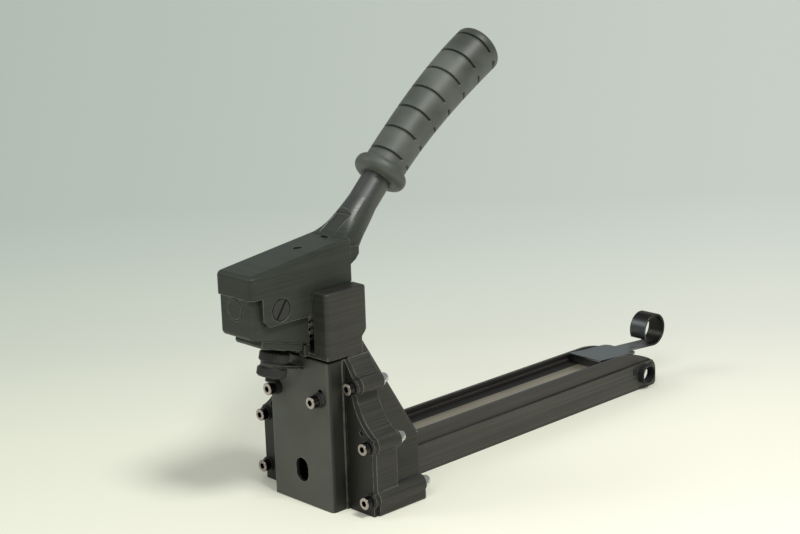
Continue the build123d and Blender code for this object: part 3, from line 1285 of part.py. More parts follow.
def pusher_strip():
    """Lower side of the pusher's sheet: front point, touching point on the loop and slope."""
    away_y = LOOP_Y - PUSHER_FRONT
    away_z = LOOP_Z - PUSHER_UNDER
    distance = hypot(away_y, away_z)
    drop = asin(LOOP_RADIUS / distance) - atan2(away_z, away_y)
    run = sqrt(distance * distance - LOOP_RADIUS * LOOP_RADIUS)
    start = (PUSHER_FRONT, PUSHER_UNDER)
    touch = (PUSHER_FRONT + run * cos(drop), PUSHER_UNDER - run * sin(drop))
    return start, touch, drop


def pusher_under(y):
    """Height of the sheet's lower side."""
    start, touch, drop = pusher_strip()
    return start[1] - (y - start[0]) * tan(drop)


def pusher_plate():
    """Sloping top plate of the pusher with its neck and rolled finger loop."""
    start, touch, drop = pusher_strip()
    rear = PUSHER_FRONT + PUSHER_LENGTH
    thick = PUSHER_SHEET / cos(drop)
    plate = side_slab(
        [
            (PUSHER_FRONT, pusher_under(PUSHER_FRONT)),
            (rear, pusher_under(rear)),
            (rear, pusher_under(rear) + thick),
            (PUSHER_FRONT, pusher_under(PUSHER_FRONT) + thick),
        ],
        -PUSHER_HALF,
        PUSHER_HALF,
    )
    plate = fillet(plate.edges().filter_by(Axis.Z).group_by(Axis.Y)[-1], 5.0)
    strip = strip_outline(start, touch, thick)
    loop = extrude(Plane.YZ.offset(-NECK_STRIP_HALF) * strip, amount=2 * NECK_STRIP_HALF)
    plate = plate + loop
    for y in pusher_rivet_places():
        plate = plate - rod_z(0, y, 2.0, pusher_under(y) - 1, pusher_under(y) + PUSHER_SHEET / 2)
    return plate


def strip_outline(start, touch, thick):
    """Side view of the strip and the rolled loop as one face."""
    outer = LOOP_RADIUS
    inner = LOOP_RADIUS - PUSHER_SHEET
    first = degrees(atan2(touch[1] - LOOP_Z, touch[0] - LOOP_Y))
    middle = (first + LOOP_END_ANGLE) / 2

    def on_loop(radius, angle):
        return LOOP_Y + radius * cos(radians(angle)), LOOP_Z + radius * sin(radians(angle))

    shape = [
        Line(start, touch).edge(),
        ThreePointArc(touch, on_loop(outer, middle), on_loop(outer, LOOP_END_ANGLE)).edge(),
        Line(on_loop(outer, LOOP_END_ANGLE), on_loop(inner, LOOP_END_ANGLE)).edge(),
        ThreePointArc(on_loop(inner, LOOP_END_ANGLE), on_loop(inner, middle), on_loop(inner, first)).edge(),
        Line(on_loop(inner, first), (start[0], start[1] + thick)).edge(),
        Line((start[0], start[1] + thick), start).edge(),
    ]
    return make_face(shape)


def pusher_rivet_places():
    """Places of the two rivets through plate and saddle along Y."""
    return [PUSHER_FRONT + SADDLE_LENGTH * 0.56, PUSHER_FRONT + SADDLE_LENGTH * 0.88]


def pusher_saddle():
    """Carriage under the plate that straddles the core behind the staples."""
    low = CORE_TOP + RUN_GAP
    half = PUSHER_HALF - 0.4
    front = PUSHER_FRONT + 2
    rear = front + SADDLE_LENGTH
    body = side_slab(
        [(front, low), (rear, low), (rear, pusher_under(rear)), (front, pusher_under(front))], -half, half
    )
    reach = RAIL_INSIDE - RUN_GAP
    shoulder = box(-reach, reach, front, front + 11, low, RAIL_GROOVE_Z + 1)
    ear = reach + RAIL_GROOVE_DEPTH
    ear_top = RAIL_GROOVE_Z + RAIL_GROOVE_HEIGHT - RUN_GAP
    shoulder = shoulder + box(-ear, ear, front, front + 11, RAIL_GROOVE_Z + RUN_GAP, ear_top)
    leg_in = CORE_HALF + 0.4
    leg = box(leg_in, reach, front, front + 11, CHANNEL_WALL + RAIL_FLOOR + 2, low + 1)
    body = body + shoulder + both_sides(leg)
    room = RIBBON_HALF + 0.5
    body = body - box(-room, room, COIL_Y - 4.4, COIL_Y + 4.4, low - 1, PUSHER_TOP)
    body = body - rod_x(COIL_Y, COIL_Z, COIL_PIN_RADIUS, -half + 0.5, half - 0.5)
    for y in pusher_rivet_places():
        body = body - rod_z(0, y, 2.0, low - 1, PUSHER_UNDER + 1)
    return body


def ribbon_coil():
    """Rolled end of the ribbon on its pin."""
    roll = rod_x(COIL_Y, COIL_Z, COIL_RADIUS, -RIBBON_HALF, RIBBON_HALF)
    return roll - rod_x(COIL_Y, COIL_Z, COIL_PIN_RADIUS + PIN_GAP, -RIBBON_HALF - 1, RIBBON_HALF + 1)


def coil_pin():
    """Pin through the rolled ribbon, held by the saddle."""
    half = PUSHER_HALF - 0.9
    return rod_x(COIL_Y, COIL_Z, COIL_PIN_RADIUS, -half, half)


def pusher_rivets():
    """Two blind rivets that join plate and saddle."""
    rivets = []
    for y in pusher_rivet_places():
        rivets.append(rod_z(0, y, 2.0, CORE_TOP + RUN_GAP + 0.4, pusher_under(y) + PUSHER_SHEET / 2))
    return group(rivets)


PIECES = {
    "main_casting": main_casting,
    "front_plate": front_plate,
    "front_cover": front_cover,
    "cover_screws": cover_screws,
    "cover_washers": cover_washers,
    "cover_spacers": cover_spacers,
    "upper_bolts": lambda: bolt_pair(UPPER_BOLT, UPPER_BOSS_END),
    "middle_bolts": lambda: bolt_pair(MIDDLE_BOLT, MIDDLE_BOSS_END),
    "lower_bolts": lambda: bolt_pair(LOWER_BOLT, LOWER_BOSS_END),
    "bolt_washers": bolt_washers,
    "dome_nuts": dome_nuts,
    "throat_screw": throat_screw,
    "fulcrum_block": fulcrum_block,
    "fulcrum_plug": fulcrum_plug,
    "adjuster_stud": adjuster_stud,
    "adjuster_washer": adjuster_washer,
    "adjusting_nut": lambda: knurled_nut(LOWER_NUT_Z, LOWER_NUT_LENGTH),
    "lock_nut": lambda: knurled_nut(UPPER_NUT_Z, UPPER_NUT_LENGTH),
    "lever": lever,
    "pivot_pin": pivot_pin,
    "drive_pin": drive_pin,
    "handle_grip": handle_grip,
    "ram": ram,
    "driver_blade": driver_blade,
    "clincher_yoke": clincher_yoke,
    "yoke_screws": yoke_screws,
    "left_clincher": lambda: clincher(-1),
    "right_clincher": lambda: clincher(1),
    "left_tail_pin": lambda: tail_pin(-1),
    "right_tail_pin": lambda: tail_pin(1),
    "clincher_pins": clincher_pins,
    "return_spring": return_spring,
    "spring_guide": spring_guide,
    "magazine_floor": magazine_floor,
    "magazine_sides": magazine_sides,
    "magazine_rails": magazine_rails,
    "rear_bushes": rear_bushes,
    "magazine_rivets": magazine_rivets,
    "magazine_screws": magazine_screws,
    "magazine_core": magazine_core,
    "ribbon_spring": ribbon_spring,
    "pusher_plate": pusher_plate,
    "pusher_saddle": pusher_saddle,
    "ribbon_coil": ribbon_coil,
    "coil_pin": coil_pin,
    "pusher_rivets": pusher_rivets,
}

os.makedirs("parts", exist_ok=True)
for name, make in PIECES.items():
    shape = make()
    print(name, len(shape.solids()), "solids", round(shape.volume, 1), "mm3")
    export_step(shape, f"parts/{name}.step")
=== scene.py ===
"""Looks of a hand-lever carton stapler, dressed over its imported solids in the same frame, in metres."""

import json
import logging
import math
from dataclasses import dataclass
from enum import Enum
from typing import Callable, Sequence, Union

import bmesh
import bpy
from mathutils import Matrix, Vector

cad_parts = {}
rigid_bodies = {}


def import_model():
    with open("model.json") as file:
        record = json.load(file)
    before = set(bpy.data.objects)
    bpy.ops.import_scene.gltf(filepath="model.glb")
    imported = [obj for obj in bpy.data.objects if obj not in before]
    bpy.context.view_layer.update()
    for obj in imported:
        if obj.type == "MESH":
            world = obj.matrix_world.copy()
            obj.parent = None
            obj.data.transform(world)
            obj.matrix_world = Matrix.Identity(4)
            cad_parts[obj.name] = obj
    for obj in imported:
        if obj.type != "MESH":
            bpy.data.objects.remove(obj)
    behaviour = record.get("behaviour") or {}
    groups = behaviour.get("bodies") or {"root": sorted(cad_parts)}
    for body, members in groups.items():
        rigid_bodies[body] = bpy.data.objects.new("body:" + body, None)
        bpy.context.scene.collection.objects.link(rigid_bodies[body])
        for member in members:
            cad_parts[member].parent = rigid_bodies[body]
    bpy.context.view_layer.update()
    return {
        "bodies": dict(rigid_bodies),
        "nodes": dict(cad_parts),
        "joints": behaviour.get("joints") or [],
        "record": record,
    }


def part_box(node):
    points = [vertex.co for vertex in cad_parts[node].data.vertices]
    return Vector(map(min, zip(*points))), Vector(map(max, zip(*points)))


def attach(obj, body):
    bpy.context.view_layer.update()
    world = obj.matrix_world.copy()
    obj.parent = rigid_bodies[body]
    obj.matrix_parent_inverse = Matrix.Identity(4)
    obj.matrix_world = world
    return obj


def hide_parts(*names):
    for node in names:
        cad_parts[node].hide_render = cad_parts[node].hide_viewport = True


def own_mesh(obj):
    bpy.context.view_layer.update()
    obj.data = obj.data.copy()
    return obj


LOG = logging.getLogger("carton_stapler")
FRAME: dict = {}
MM = 0.001
MERGE_DISTANCE = 1e-7

Colour = tuple[float, float, float]
Tone = tuple[int, int, int]
Point = tuple[float, float, float]
Range = tuple[float, float]
Material = bpy.types.Material
Node = bpy.types.Node
Piece = bpy.types.Object
Socket = bpy.types.NodeSocket
Tree = bpy.types.NodeTree
Sockets = dict[str, Socket]
Value = Union[Socket, float, int, Sequence[float], str, bool, bpy.types.ID]

# Curve that turns a screen's colours into linear ones
SCREEN_WHITE = 255.0
SCREEN_KNEE = 0.04045
SCREEN_SLOPE = 12.92
SCREEN_SHIFT = 0.055
SCREEN_POWER = 2.4

# Spans of noise, light and direction that the shared effects stretch to a full mask
FULL: Range = (0.0, 1.0)
# Spans of the edge mask, for wear and a painted highlight.
WORN_HIGHLIGHT_NOISE: Range = (0.36, 0.6)
WORN_HIGHLIGHT_SHARE: Range = (0.15, 1.0)
TONE_NOISE: Range = (0.35, 0.65)
LINE_NOISE: Range = (0.38, 0.62)
SHELTER: Range = (0.35, 0.85)
END_FACING: Range = (0.55, 0.8)

# Fineness of the shared effects
EDGE_SAMPLES = 5
HOLLOW_SAMPLES = 8
EDGE_DETAIL = 5.0
SKIN_DETAIL = 4.0
PATCH_DETAIL = 3.0
LINE_DETAIL = 5.0

# Inputs of the shared effects that take one value for each axis or end
ACROSS = ("Across X", "Across Y", "Across Z")
SPANS = ("Start", "End", "Low", "High")


class Body(str, Enum):
    """Bodies of the tool that the remade pieces ride on."""

    FRAME = "frame"
    LEVER = "lever"
    RIBBON_ROLL = "ribbon_roll"


class Slot(str, Enum):
    """Material slots of the record."""

    CASTING = "casting_black"
    PLATE = "plate_black"
    LEVER = "lever_black"
    MAGAZINE = "magazine_black"
    RAIL = "rail_black"
    BLACKENED = "blackened_steel"
    BRIGHT = "bright_steel"
    TOOL = "tool_steel"
    BLUED = "blued_steel"
    RIBBON = "ribbon_steel"
    CHROME = "chrome"
    RUBBER = "grip_rubber"


def paint(tone: Tone) -> tuple[float, ...]:
    """Turns a colour as a screen shows it into the renderer's linear one, with full cover.

    Args:
        tone: red, green and blue from 0 to 255.

    Returns:
        The linear colour and its cover.
    """
    parts = []
    for part in tone:
        share = part / SCREEN_WHITE
        if share <= SCREEN_KNEE:
            parts.append(share / SCREEN_SLOPE)
        else:
            parts.append(((share + SCREEN_SHIFT) / (1.0 + SCREEN_SHIFT)) ** SCREEN_POWER)
    return (*parts, 1.0)


def smooth(low: float, high: float, value: float) -> float:
    """Eased step from 0 at low to 1 at high."""
    share = min(1.0, max(0.0, (value - low) / (high - low)))
    return share * share * (3.0 - 2.0 * share)


def direction(azimuth: float, elevation: float) -> Vector:
    """Unit vector from the tool towards a viewpoint.

    Args:
        azimuth: turn to the right of the tool's front in degrees.
        elevation: height above the floor in degrees.

    Returns:
        The direction.
    """
    turn = math.radians(azimuth)
    rise = math.radians(elevation)
    return Vector((math.sin(turn) * math.cos(rise), -math.cos(turn) * math.cos(rise), math.sin(rise)))


def joint(name: str) -> dict:
    """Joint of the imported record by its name."""
    return next(row for row in FRAME["joints"] if row["name"] == name)


class Sheet:
    """A node tree with short calls to fill it."""

    def __init__(self, tree: Tree) -> None:
        """Keeps the tree that is filled."""
        self.tree = tree

    def add(self, kind: str, inputs: dict | None = None, **settings: Value) -> Node:
        """Adds one node.

        Args:
            kind: Blender's name of the node type.
            inputs: values or sockets for the node's inputs, by name or number.
            settings: properties of the node itself.

        Returns:
            The new node.
        """
        node = self.tree.nodes.new(kind)
        for name, value in settings.items():
            setattr(node, name, value)
        for name, value in (inputs or {}).items():
            if isinstance(value, Socket):
                self.tree.links.new(value, node.inputs[name])
            else:
                node.inputs[name].default_value = value
        return node

    def math(self, operation: str, first: Value, second: Value = 0.0) -> Socket:
        """Result of one Math node."""
        return self.add("ShaderNodeMath", {0: first, 1: second}, operation=operation).outputs[0]

    def vector(self, operation: str, first: Value, second: Value) -> Node:
        """One Vector Math node."""
        return self.add("ShaderNodeVectorMath", {0: first, 1: second}, operation=operation)

    def dot(self, first: Value, second: Value) -> Socket:
        """Dot product of two vectors."""
        return self.vector("DOT_PRODUCT", first, second).outputs["Value"]

    def mix(self, share: Value, first: Value, second: Value) -> Socket:
        """Colour between two colours."""
        node = self.add("ShaderNodeMix", {0: share, 6: first, 7: second}, data_type="RGBA")
        return node.outputs[2]

    def remap(self, value: Socket, source: Sequence[Value], target: Sequence[Value] = FULL) -> Socket:
        """Value moved from one range to another, kept inside it."""
        inputs = {0: value, 1: source[0], 2: source[1], 3: target[0], 4: target[1]}
        return self.add("ShaderNodeMapRange", inputs).outputs[0]

    def group(self, tree: Tree, values: dict[str, float]) -> Node:
        """Places a node group with its own values."""
        return self.add("ShaderNodeGroup", values, node_tree=tree)

    def place(self) -> Socket:
        """Place on the piece, in its object's coordinates."""
        return self.add("ShaderNodeTexCoord").outputs["Object"]

    def noise(self, place: Socket, scale: Value, detail: float) -> Socket:
        """Noise from 0 to 1 at a place."""
        inputs = {"Vector": place, "Scale": scale, "Detail": detail}
        return self.add("ShaderNodeTexNoise", inputs).outputs[0]


Filler = Callable[[Sheet, Sockets], Sockets]


def blank_sheet(block: Material | bpy.types.World) -> Sheet:
    """Empties the nodes of a material or a world.

    Args:
        block: the material or world.

    Returns:
        Its tree, ready to fill.
    """
    block.use_nodes = True
    block.node_tree.nodes.clear()
    return Sheet(block.node_tree)


def shader_group(name: str, inputs: dict[str, float], outputs: dict[str, str], fill: Filler) -> Tree:
    """Builds a shader node group once.

    Args:
        name: name of the group.
        inputs: names of its number inputs with their defaults.
        outputs: names of its outputs with the last word of their socket types.
        fill: adds the nodes and gives the socket for each output.

    Returns:
        The group's tree.
    """
    tree = bpy.data.node_groups.get(name)
    if tree is not None:
        return tree
    tree = bpy.data.node_groups.new(name, "ShaderNodeTree")
    for label, default in inputs.items():
        socket = tree.interface.new_socket(label, in_out="INPUT", socket_type="NodeSocketFloat")
        socket.default_value = default
    for label, kind in outputs.items():
        tree.interface.new_socket(label, in_out="OUTPUT", socket_type="NodeSocket" + kind)
    sheet = Sheet(tree)
    start = sheet.add("NodeGroupInput")
    end = sheet.add("NodeGroupOutput")
    made = fill(sheet, {label: start.outputs[label] for label in inputs})
    for label, socket in made.items():
        tree.links.new(socket, end.inputs[label])
    return tree


def fill_worn_highlight_edge(sheet: Sheet, given: Sockets) -> Sockets:
    """Fills the group of worn and highlit edges.

    Args:
        sheet: tree of the group.
        given: its inputs.

    Returns:
        Mask of the edges, for wear and a painted highlight, and the normal that rounds them.
    """
    bevel = sheet.add("ShaderNodeBevel", {"Radius": given["Radius"]}, samples=EDGE_SAMPLES)
    face = sheet.add("ShaderNodeNewGeometry")
    turned = sheet.math("SUBTRACT", 1.0, sheet.dot(bevel.outputs["Normal"], face.outputs["Normal"]))
    noise = sheet.noise(sheet.place(), given["Breakup"], EDGE_DETAIL)
    patches = sheet.remap(noise, WORN_HIGHLIGHT_NOISE, WORN_HIGHLIGHT_SHARE)
    strong = sheet.math("MULTIPLY", turned, given["Gain"])
    mask = sheet.add("ShaderNodeClamp", {0: sheet.math("MULTIPLY", strong, patches)})
    return {"Mask": mask.outputs[0], "Normal": bevel.outputs["Normal"]}


def worn_highlight_edge() -> Tree:
    """Group: rounds hard edges and gives a broken mask for their wear and painted highlight."""
    inputs = {"Radius": 0.0005, "Breakup": 120.0, "Gain": 3.0}
    return shader_group("worn_highlight_edge", inputs, {"Mask": "Float", "Normal": "Vector"}, fill_worn_highlight_edge)


def fill_cast_skin(sheet: Sheet, given: Sockets) -> Sockets:
    """Fills the group cast_skin.

    Args:
        sheet: tree of the group.
        given: its inputs.

    Returns:
        Height of the fine bumps, and the slow change of tone.
    """
    place = sheet.place()
    fine = sheet.noise(place, given["Scale"], SKIN_DETAIL)
    broad = sheet.noise(place, given["Patches"], PATCH_DETAIL)
    return {"Height": fine, "Tone": sheet.remap(broad, TONE_NOISE)}


def cast_skin() -> Tree:
    """Group: fine bumps of a painted or blasted skin with a slow change of tone."""
    inputs = {"Scale": 900.0, "Patches": 25.0}
    return shader_group("cast_skin", inputs, {"Height": "Float", "Tone": "Float"}, fill_cast_skin)


def fill_drawn_lines(sheet: Sheet, given: Sockets) -> Sockets:
    """Fills the group drawn_lines.

    Args:
        sheet: tree of the group.
        given: its inputs.

    Returns:
        Height of the lines, and their tone.
    """
    across = sheet.add("ShaderNodeCombineXYZ", {number: given[label] for number, label in enumerate(ACROSS)})
    stretched = sheet.vector("MULTIPLY", sheet.place(), across.outputs[0])
    noise = sheet.noise(stretched.outputs[0], 1.0, LINE_DETAIL)
    return {"Height": noise, "Tone": sheet.remap(noise, LINE_NOISE)}


def drawn_lines() -> Tree:
    """Group: long faint lines left by drawing, grinding or rubbing along one axis."""
    inputs = dict(zip(ACROSS, (20.0, 20.0, 900.0)))
    return shader_group("drawn_lines", inputs, {"Height": "Float", "Tone": "Float"}, fill_drawn_lines)


def fill_hollow_shade(sheet: Sheet, given: Sockets) -> Sockets:
    """Fills the group of painted shade in recesses.

    Args:
        sheet: tree of the group.
        given: its inputs.

    Returns:
        Mask of the sheltered places.
    """
    reach = {"Distance": given["Distance"]}
    open_sky = sheet.add("ShaderNodeAmbientOcclusion", reach, samples=HOLLOW_SAMPLES)
    return {"Mask": sheet.remap(open_sky.outputs["AO"], SHELTER, (1.0, 0.0))}


def hollow_shade() -> Tree:
    """Group: mask of corners and recesses, where painted shade darkens the colour."""
    return shader_group("hollow_shade", {"Distance": 0.003}, {"Mask": "Float"}, fill_hollow_shade)


def fill_along_tool(sheet: Sheet, given: Sockets) -> Sockets:
    """Fills the group along_tool.

    Args:
        sheet: tree of the group.
        given: its inputs.

    Returns:
        Masks of faces along the tool, of places along it and of heights on it.
    """
    face = sheet.add("ShaderNodeNewGeometry")
    turn = sheet.add("ShaderNodeSeparateXYZ", {0: face.outputs["Normal"]})
    spot = sheet.add("ShaderNodeSeparateXYZ", {0: sheet.place()})
    ends = sheet.remap(sheet.math("ABSOLUTE", turn.outputs[1]), END_FACING)
    grown = sheet.remap(spot.outputs[1], (given["Start"], given["End"]))
    raised = sheet.remap(spot.outputs[2], (given["Low"], given["High"]))
    return {"Ends": ends, "Grown": grown, "Raised": raised}


def along_tool() -> Tree:
    """Group: masks of faces that look along the tool, of places along it and of heights on it."""
    outputs = {label: "Float" for label in ("Ends", "Grown", "Raised")}
    return shader_group("along_tool", dict(zip(SPANS, FULL + FULL)), outputs, fill_along_tool)


@dataclass(frozen=True)
class Finish:
    """One surface finish: its colours, gloss, skin and edges.

    The colours are as a screen shows them, lengths are metres, and lines gives how often the drawn lines
    change along X, Y and Z for each metre. The worn colour lights the edges, partly as wear and partly as a
    painted highlight. The recess colour is painted shade in recesses, the side colour is painted shade on
    faces that do not look along the tool (on screw heads a painted dark reflection), the band colour is a
    painted shadow on the front plate and a painted dark reflection on the pusher's loop between two places
    along the tool, and crest the colour that it takes, with a gloss of its own, between two heights.
    """

    name: str
    colour: Tone
    pale: Tone
    # Lighter edge colour: edge wear with a painted highlight.
    worn_highlight: Tone
    roughness: float
    spread: float = 0.06
    metallic: float = 0.0
    gloss: float = 0.5
    skin: float = 900.0
    depth: float = 0.00003
    patches: float = 25.0
    lines: Point = (25.0, 25.0, 900.0)
    line_depth: float = 0.0
    line_tone: float = 0.0
    edge: float = 0.0005
    gain: float = 3.0
    breakup: float = 140.0
    sheen: float = 0.0
    # Recess colour and reach: painted shade in recesses.
    recess_shade: Tone | None = None
    recess_shade_reach: float = 0.003
    # Painted shade on faces that do not look along the tool; on screw heads a painted dark reflection.
    side: Tone | None = None
    # Painted dark band between two places along the tool: a shadow on the front plate, a dark reflection on
    # the pusher's loop.
    shade_band: Tone | None = None
    shade_band_places: Range = FULL
    crest: Tone | None = None
    crest_heights: Range = FULL
    crest_gloss: float = 0.5

    def material(self) -> Material:
        """Builds the node material once.

        Returns:
            The material of this finish.
        """
        found = bpy.data.materials.get(self.name)
        if found is not None:
            return found
        material = bpy.data.materials.new(self.name)
        sheet = blank_sheet(material)
        edge_values = {"Radius": self.edge, "Breakup": self.breakup, "Gain": self.gain}
        edge = sheet.group(worn_highlight_edge(), edge_values)
        skin = sheet.group(cast_skin(), {"Scale": self.skin, "Patches": self.patches})
        drawn = sheet.group(drawn_lines(), dict(zip(ACROSS, self.lines)))
        along = sheet.group(along_tool(), dict(zip(SPANS, self.shade_band_places + self.crest_heights)))
        streak = sheet.math("MULTIPLY", drawn.outputs["Tone"], self.line_tone)
        patch = sheet.math("MULTIPLY", skin.outputs["Tone"], 1.0 - self.line_tone)
        tone = sheet.math("ADD", streak, patch)
        base = sheet.mix(tone, paint(self.colour), paint(self.pale))
        # Edges take a lighter colour: wear with a painted highlight.
        colour = sheet.mix(edge.outputs["Mask"], self.tint(sheet, along, base), paint(self.worn_highlight))
        rough = (self.roughness - self.spread, self.roughness + self.spread)
        shader = {
            "Base Color": self.shade_recesses(sheet, colour),
            "Roughness": sheet.remap(tone, FULL, rough),
            "Metallic": self.metallic,
            "Specular IOR Level": self.shine(sheet, along),
            "Sheen Weight": self.sheen,
            "Normal": self.relief(sheet, edge, skin, drawn),
        }
        surface = sheet.add("ShaderNodeBsdfPrincipled", shader)
        sheet.add("ShaderNodeOutputMaterial", {"Surface": surface.outputs[0]})
        return material

    def tint(self, sheet: Sheet, along: Node, colour: Socket) -> Socket:
        """Adds the painted shade of the sides, the colour of the upper part and the painted dark band along
        the tool that this finish has.

        Args:
            sheet: tree of the material.
            along: the masks along the tool and up it.
            colour: colour so far.

        Returns:
            The colour with those changes.
        """
        if self.side is not None:
            # Painted shade on the sides.
            colour = sheet.mix(along.outputs["Ends"], paint(self.side), colour)
        if self.crest is not None:
            colour = sheet.mix(along.outputs["Raised"], colour, paint(self.crest))
        if self.shade_band is not None:
            # Painted dark band: shadow on the front plate, dark reflection on the pusher's loop.
            colour = sheet.mix(along.outputs["Grown"], colour, paint(self.shade_band))
        return colour

    def shade_recesses(self, sheet: Sheet, colour: Socket) -> Socket:
        """Paints shade into the recesses, if this finish has it.

        Args:
            sheet: tree of the material.
            colour: colour so far.

        Returns:
            The colour with its painted shade.
        """
        if self.recess_shade is None:
            return colour
        # Painted shade: darker where little light reaches.
        shade = sheet.group(hollow_shade(), {"Distance": self.recess_shade_reach})
        return sheet.mix(shade.outputs["Mask"], colour, paint(self.recess_shade))

    def shine(self, sheet: Sheet, along: Node) -> Value:
        """Gives the gloss, which changes upwards if the finish has a crest.

        Args:
            sheet: tree of the material.
            along: the masks along the tool and up it.

        Returns:
            The gloss as a number or a socket.
        """
        if self.crest is None:
            return self.gloss
        return sheet.remap(along.outputs["Raised"], FULL, (self.gloss, self.crest_gloss))

    def relief(self, sheet: Sheet, edge: Node, skin: Node, drawn: Node) -> Socket:
        """Adds the bumps of the skin, and of the drawn lines if the finish has them.

        Args:
            sheet: tree of the material.
            edge: the rounded edges.
            skin: the fine bumps.
            drawn: the drawn lines.

        Returns:
            The normal with those bumps.
        """
        inputs = {"Height": skin.outputs["Height"], "Distance": self.depth, "Normal": edge.outputs["Normal"]}
        bump = sheet.add("ShaderNodeBump", inputs)
        if not self.line_depth:
            return bump.outputs[0]
        inputs = {"Height": drawn.outputs["Height"], "Distance": self.line_depth, "Normal": bump.outputs[0]}
        return sheet.add("ShaderNodeBump", inputs).outputs[0]


# The third colour of each finish is edge wear with a painted highlight.
FINISHES: dict[Slot, Finish] = {
    Slot.CASTING: Finish(
        "satin_black_casting",
        (38, 38, 35),
        (58, 58, 53),
        (140, 139, 130),
        roughness=0.47,
        gloss=0.28,
        depth=0.00004,
        lines=(14.0, 14.0, 1900.0),
        line_depth=0.00004,
        line_tone=0.75,
        edge=0.001,
        gain=5.0,
    ),
    Slot.PLATE: Finish(
        "satin_black_plate",
        (64, 66, 61),
        (76, 78, 73),
        (144, 143, 135),
        roughness=0.46,
        gloss=0.35,
        depth=0.00002,
        skin=1400.0,
        edge=0.0007,
        gain=4.5,
        # Painted shade on the cover's side faces.
        side=(34, 35, 31),
        # Painted shadow of the cover on the front plate.
        shade_band=(28, 28, 25),
        shade_band_places=(0.0115, 0.0136),
    ),
    Slot.LEVER: Finish(
        "black_lever_enamel",
        (41, 45, 40),
        (56, 60, 54),
        (132, 136, 127),
        roughness=0.38,
        gloss=0.16,
        depth=0.00002,
        lines=(14.0, 14.0, 1900.0),
        line_depth=0.00001,
        line_tone=0.6,
        edge=0.0009,
        gain=5.0,
        crest=(36, 40, 36),
        crest_heights=(0.178, 0.205),
        crest_gloss=0.9,
    ),
    Slot.MAGAZINE: Finish(
        "black_magazine_sheet",
        (42, 42, 39),
        (70, 70, 65),
        (124, 122, 116),
        roughness=0.42,
        gloss=0.35,
        lines=(60.0, 5.0, 1900.0),
        line_depth=0.00003,
        line_tone=0.8,
        edge=0.0004,
        gain=1.8,
    ),
    Slot.RAIL: Finish(
        "black_rail_anodise",
        (28, 27, 26),
        (48, 46, 44),
        (104, 102, 96),
        roughness=0.38,
        lines=(300.0, 6.0, 800.0),
        line_depth=0.00003,
        line_tone=0.8,
        edge=0.0004,
        gain=1.8,
    ),
    Slot.BLACKENED: Finish(
        "blackened_steel",
        (24, 24, 23),
        (36, 35, 34),
        (112, 108, 102),
        roughness=0.38,
        metallic=0.35,
        edge=0.0003,
        gain=2.0,
        # Painted shade in recesses.
        recess_shade=(12, 12, 11),
    ),
    Slot.BRIGHT: Finish(
        "plated_screw_steel",
        (158, 149, 145),
        (180, 171, 167),
        (214, 207, 203),
        roughness=0.26,
        metallic=1.0,
        edge=0.0003,
        gain=1.4,
        # Painted shade in the sockets.
        recess_shade=(18, 17, 16),
        recess_shade_reach=0.0025,
        # Painted dark reflection on the sides of the heads.
        side=(52, 49, 46),
    ),
    Slot.TOOL: Finish(
        "ground_tool_steel",
        (128, 126, 122),
        (150, 147, 142),
        (190, 188, 184),
        roughness=0.34,
        metallic=1.0,
        lines=(60.0, 60.0, 900.0),
        line_depth=0.00001,
        line_tone=0.6,
        edge=0.0002,
        gain=1.0,
    ),
    Slot.BLUED: Finish(
        "blued_pusher_steel",
        (110, 117, 120),
        (126, 132, 135),
        (168, 173, 175),
        roughness=0.34,
        metallic=1.0,
        lines=(700.0, 20.0, 700.0),
        line_depth=0.00001,
        line_tone=0.5,
        edge=0.0003,
        gain=1.6,
        # Painted dark reflection on the pusher's loop.
        shade_band=(48, 47, 44),
        shade_band_places=(0.350, 0.370),
    ),
    Slot.RIBBON: Finish(
        "tempered_ribbon_steel",
        (168, 160, 142),
        (186, 179, 162),
        (206, 202, 190),
        roughness=0.38,
        metallic=0.8,
        lines=(900.0, 6.0, 900.0),
        line_depth=0.00001,
        line_tone=0.7,
        edge=0.0001,
        gain=1.0,
    ),
    Slot.CHROME: Finish(
        "polished_chrome",
        (196, 197, 196),
        (210, 211, 210),
        (232, 232, 230),
        roughness=0.14,
        spread=0.03,
        metallic=1.0,
        depth=0.000005,
        edge=0.0002,
        gain=1.0,
        # Painted shade in recesses.
        recess_shade=(24, 23, 22),
    ),
    Slot.RUBBER: Finish(
        "moulded_grip_rubber",
        (50, 55, 49),
        (84, 89, 83),
        (94, 99, 92),
        roughness=0.5,
        spread=0.05,
        gloss=0.6,
        skin=1600.0,
        depth=0.00006,
        edge=0.0003,
        gain=0.6,
        # Painted shade in the grooves.
        recess_shade=(8, 8, 8),
        sheen=0.05,
    ),
}


# Near-black wire: painted shade, so the spring in its shaded recess beside the fulcrum block shows no lit
# turns.
SPRING_WIRE = Finish(
    "shade_darkened_spring_wire",
    (12, 12, 11),
    (16, 16, 15),
    (30, 30, 28),
    roughness=0.6,
    gloss=0.1,
    edge=0.0002,
    gain=0.5,
    recess_shade=(12, 12, 11),
)


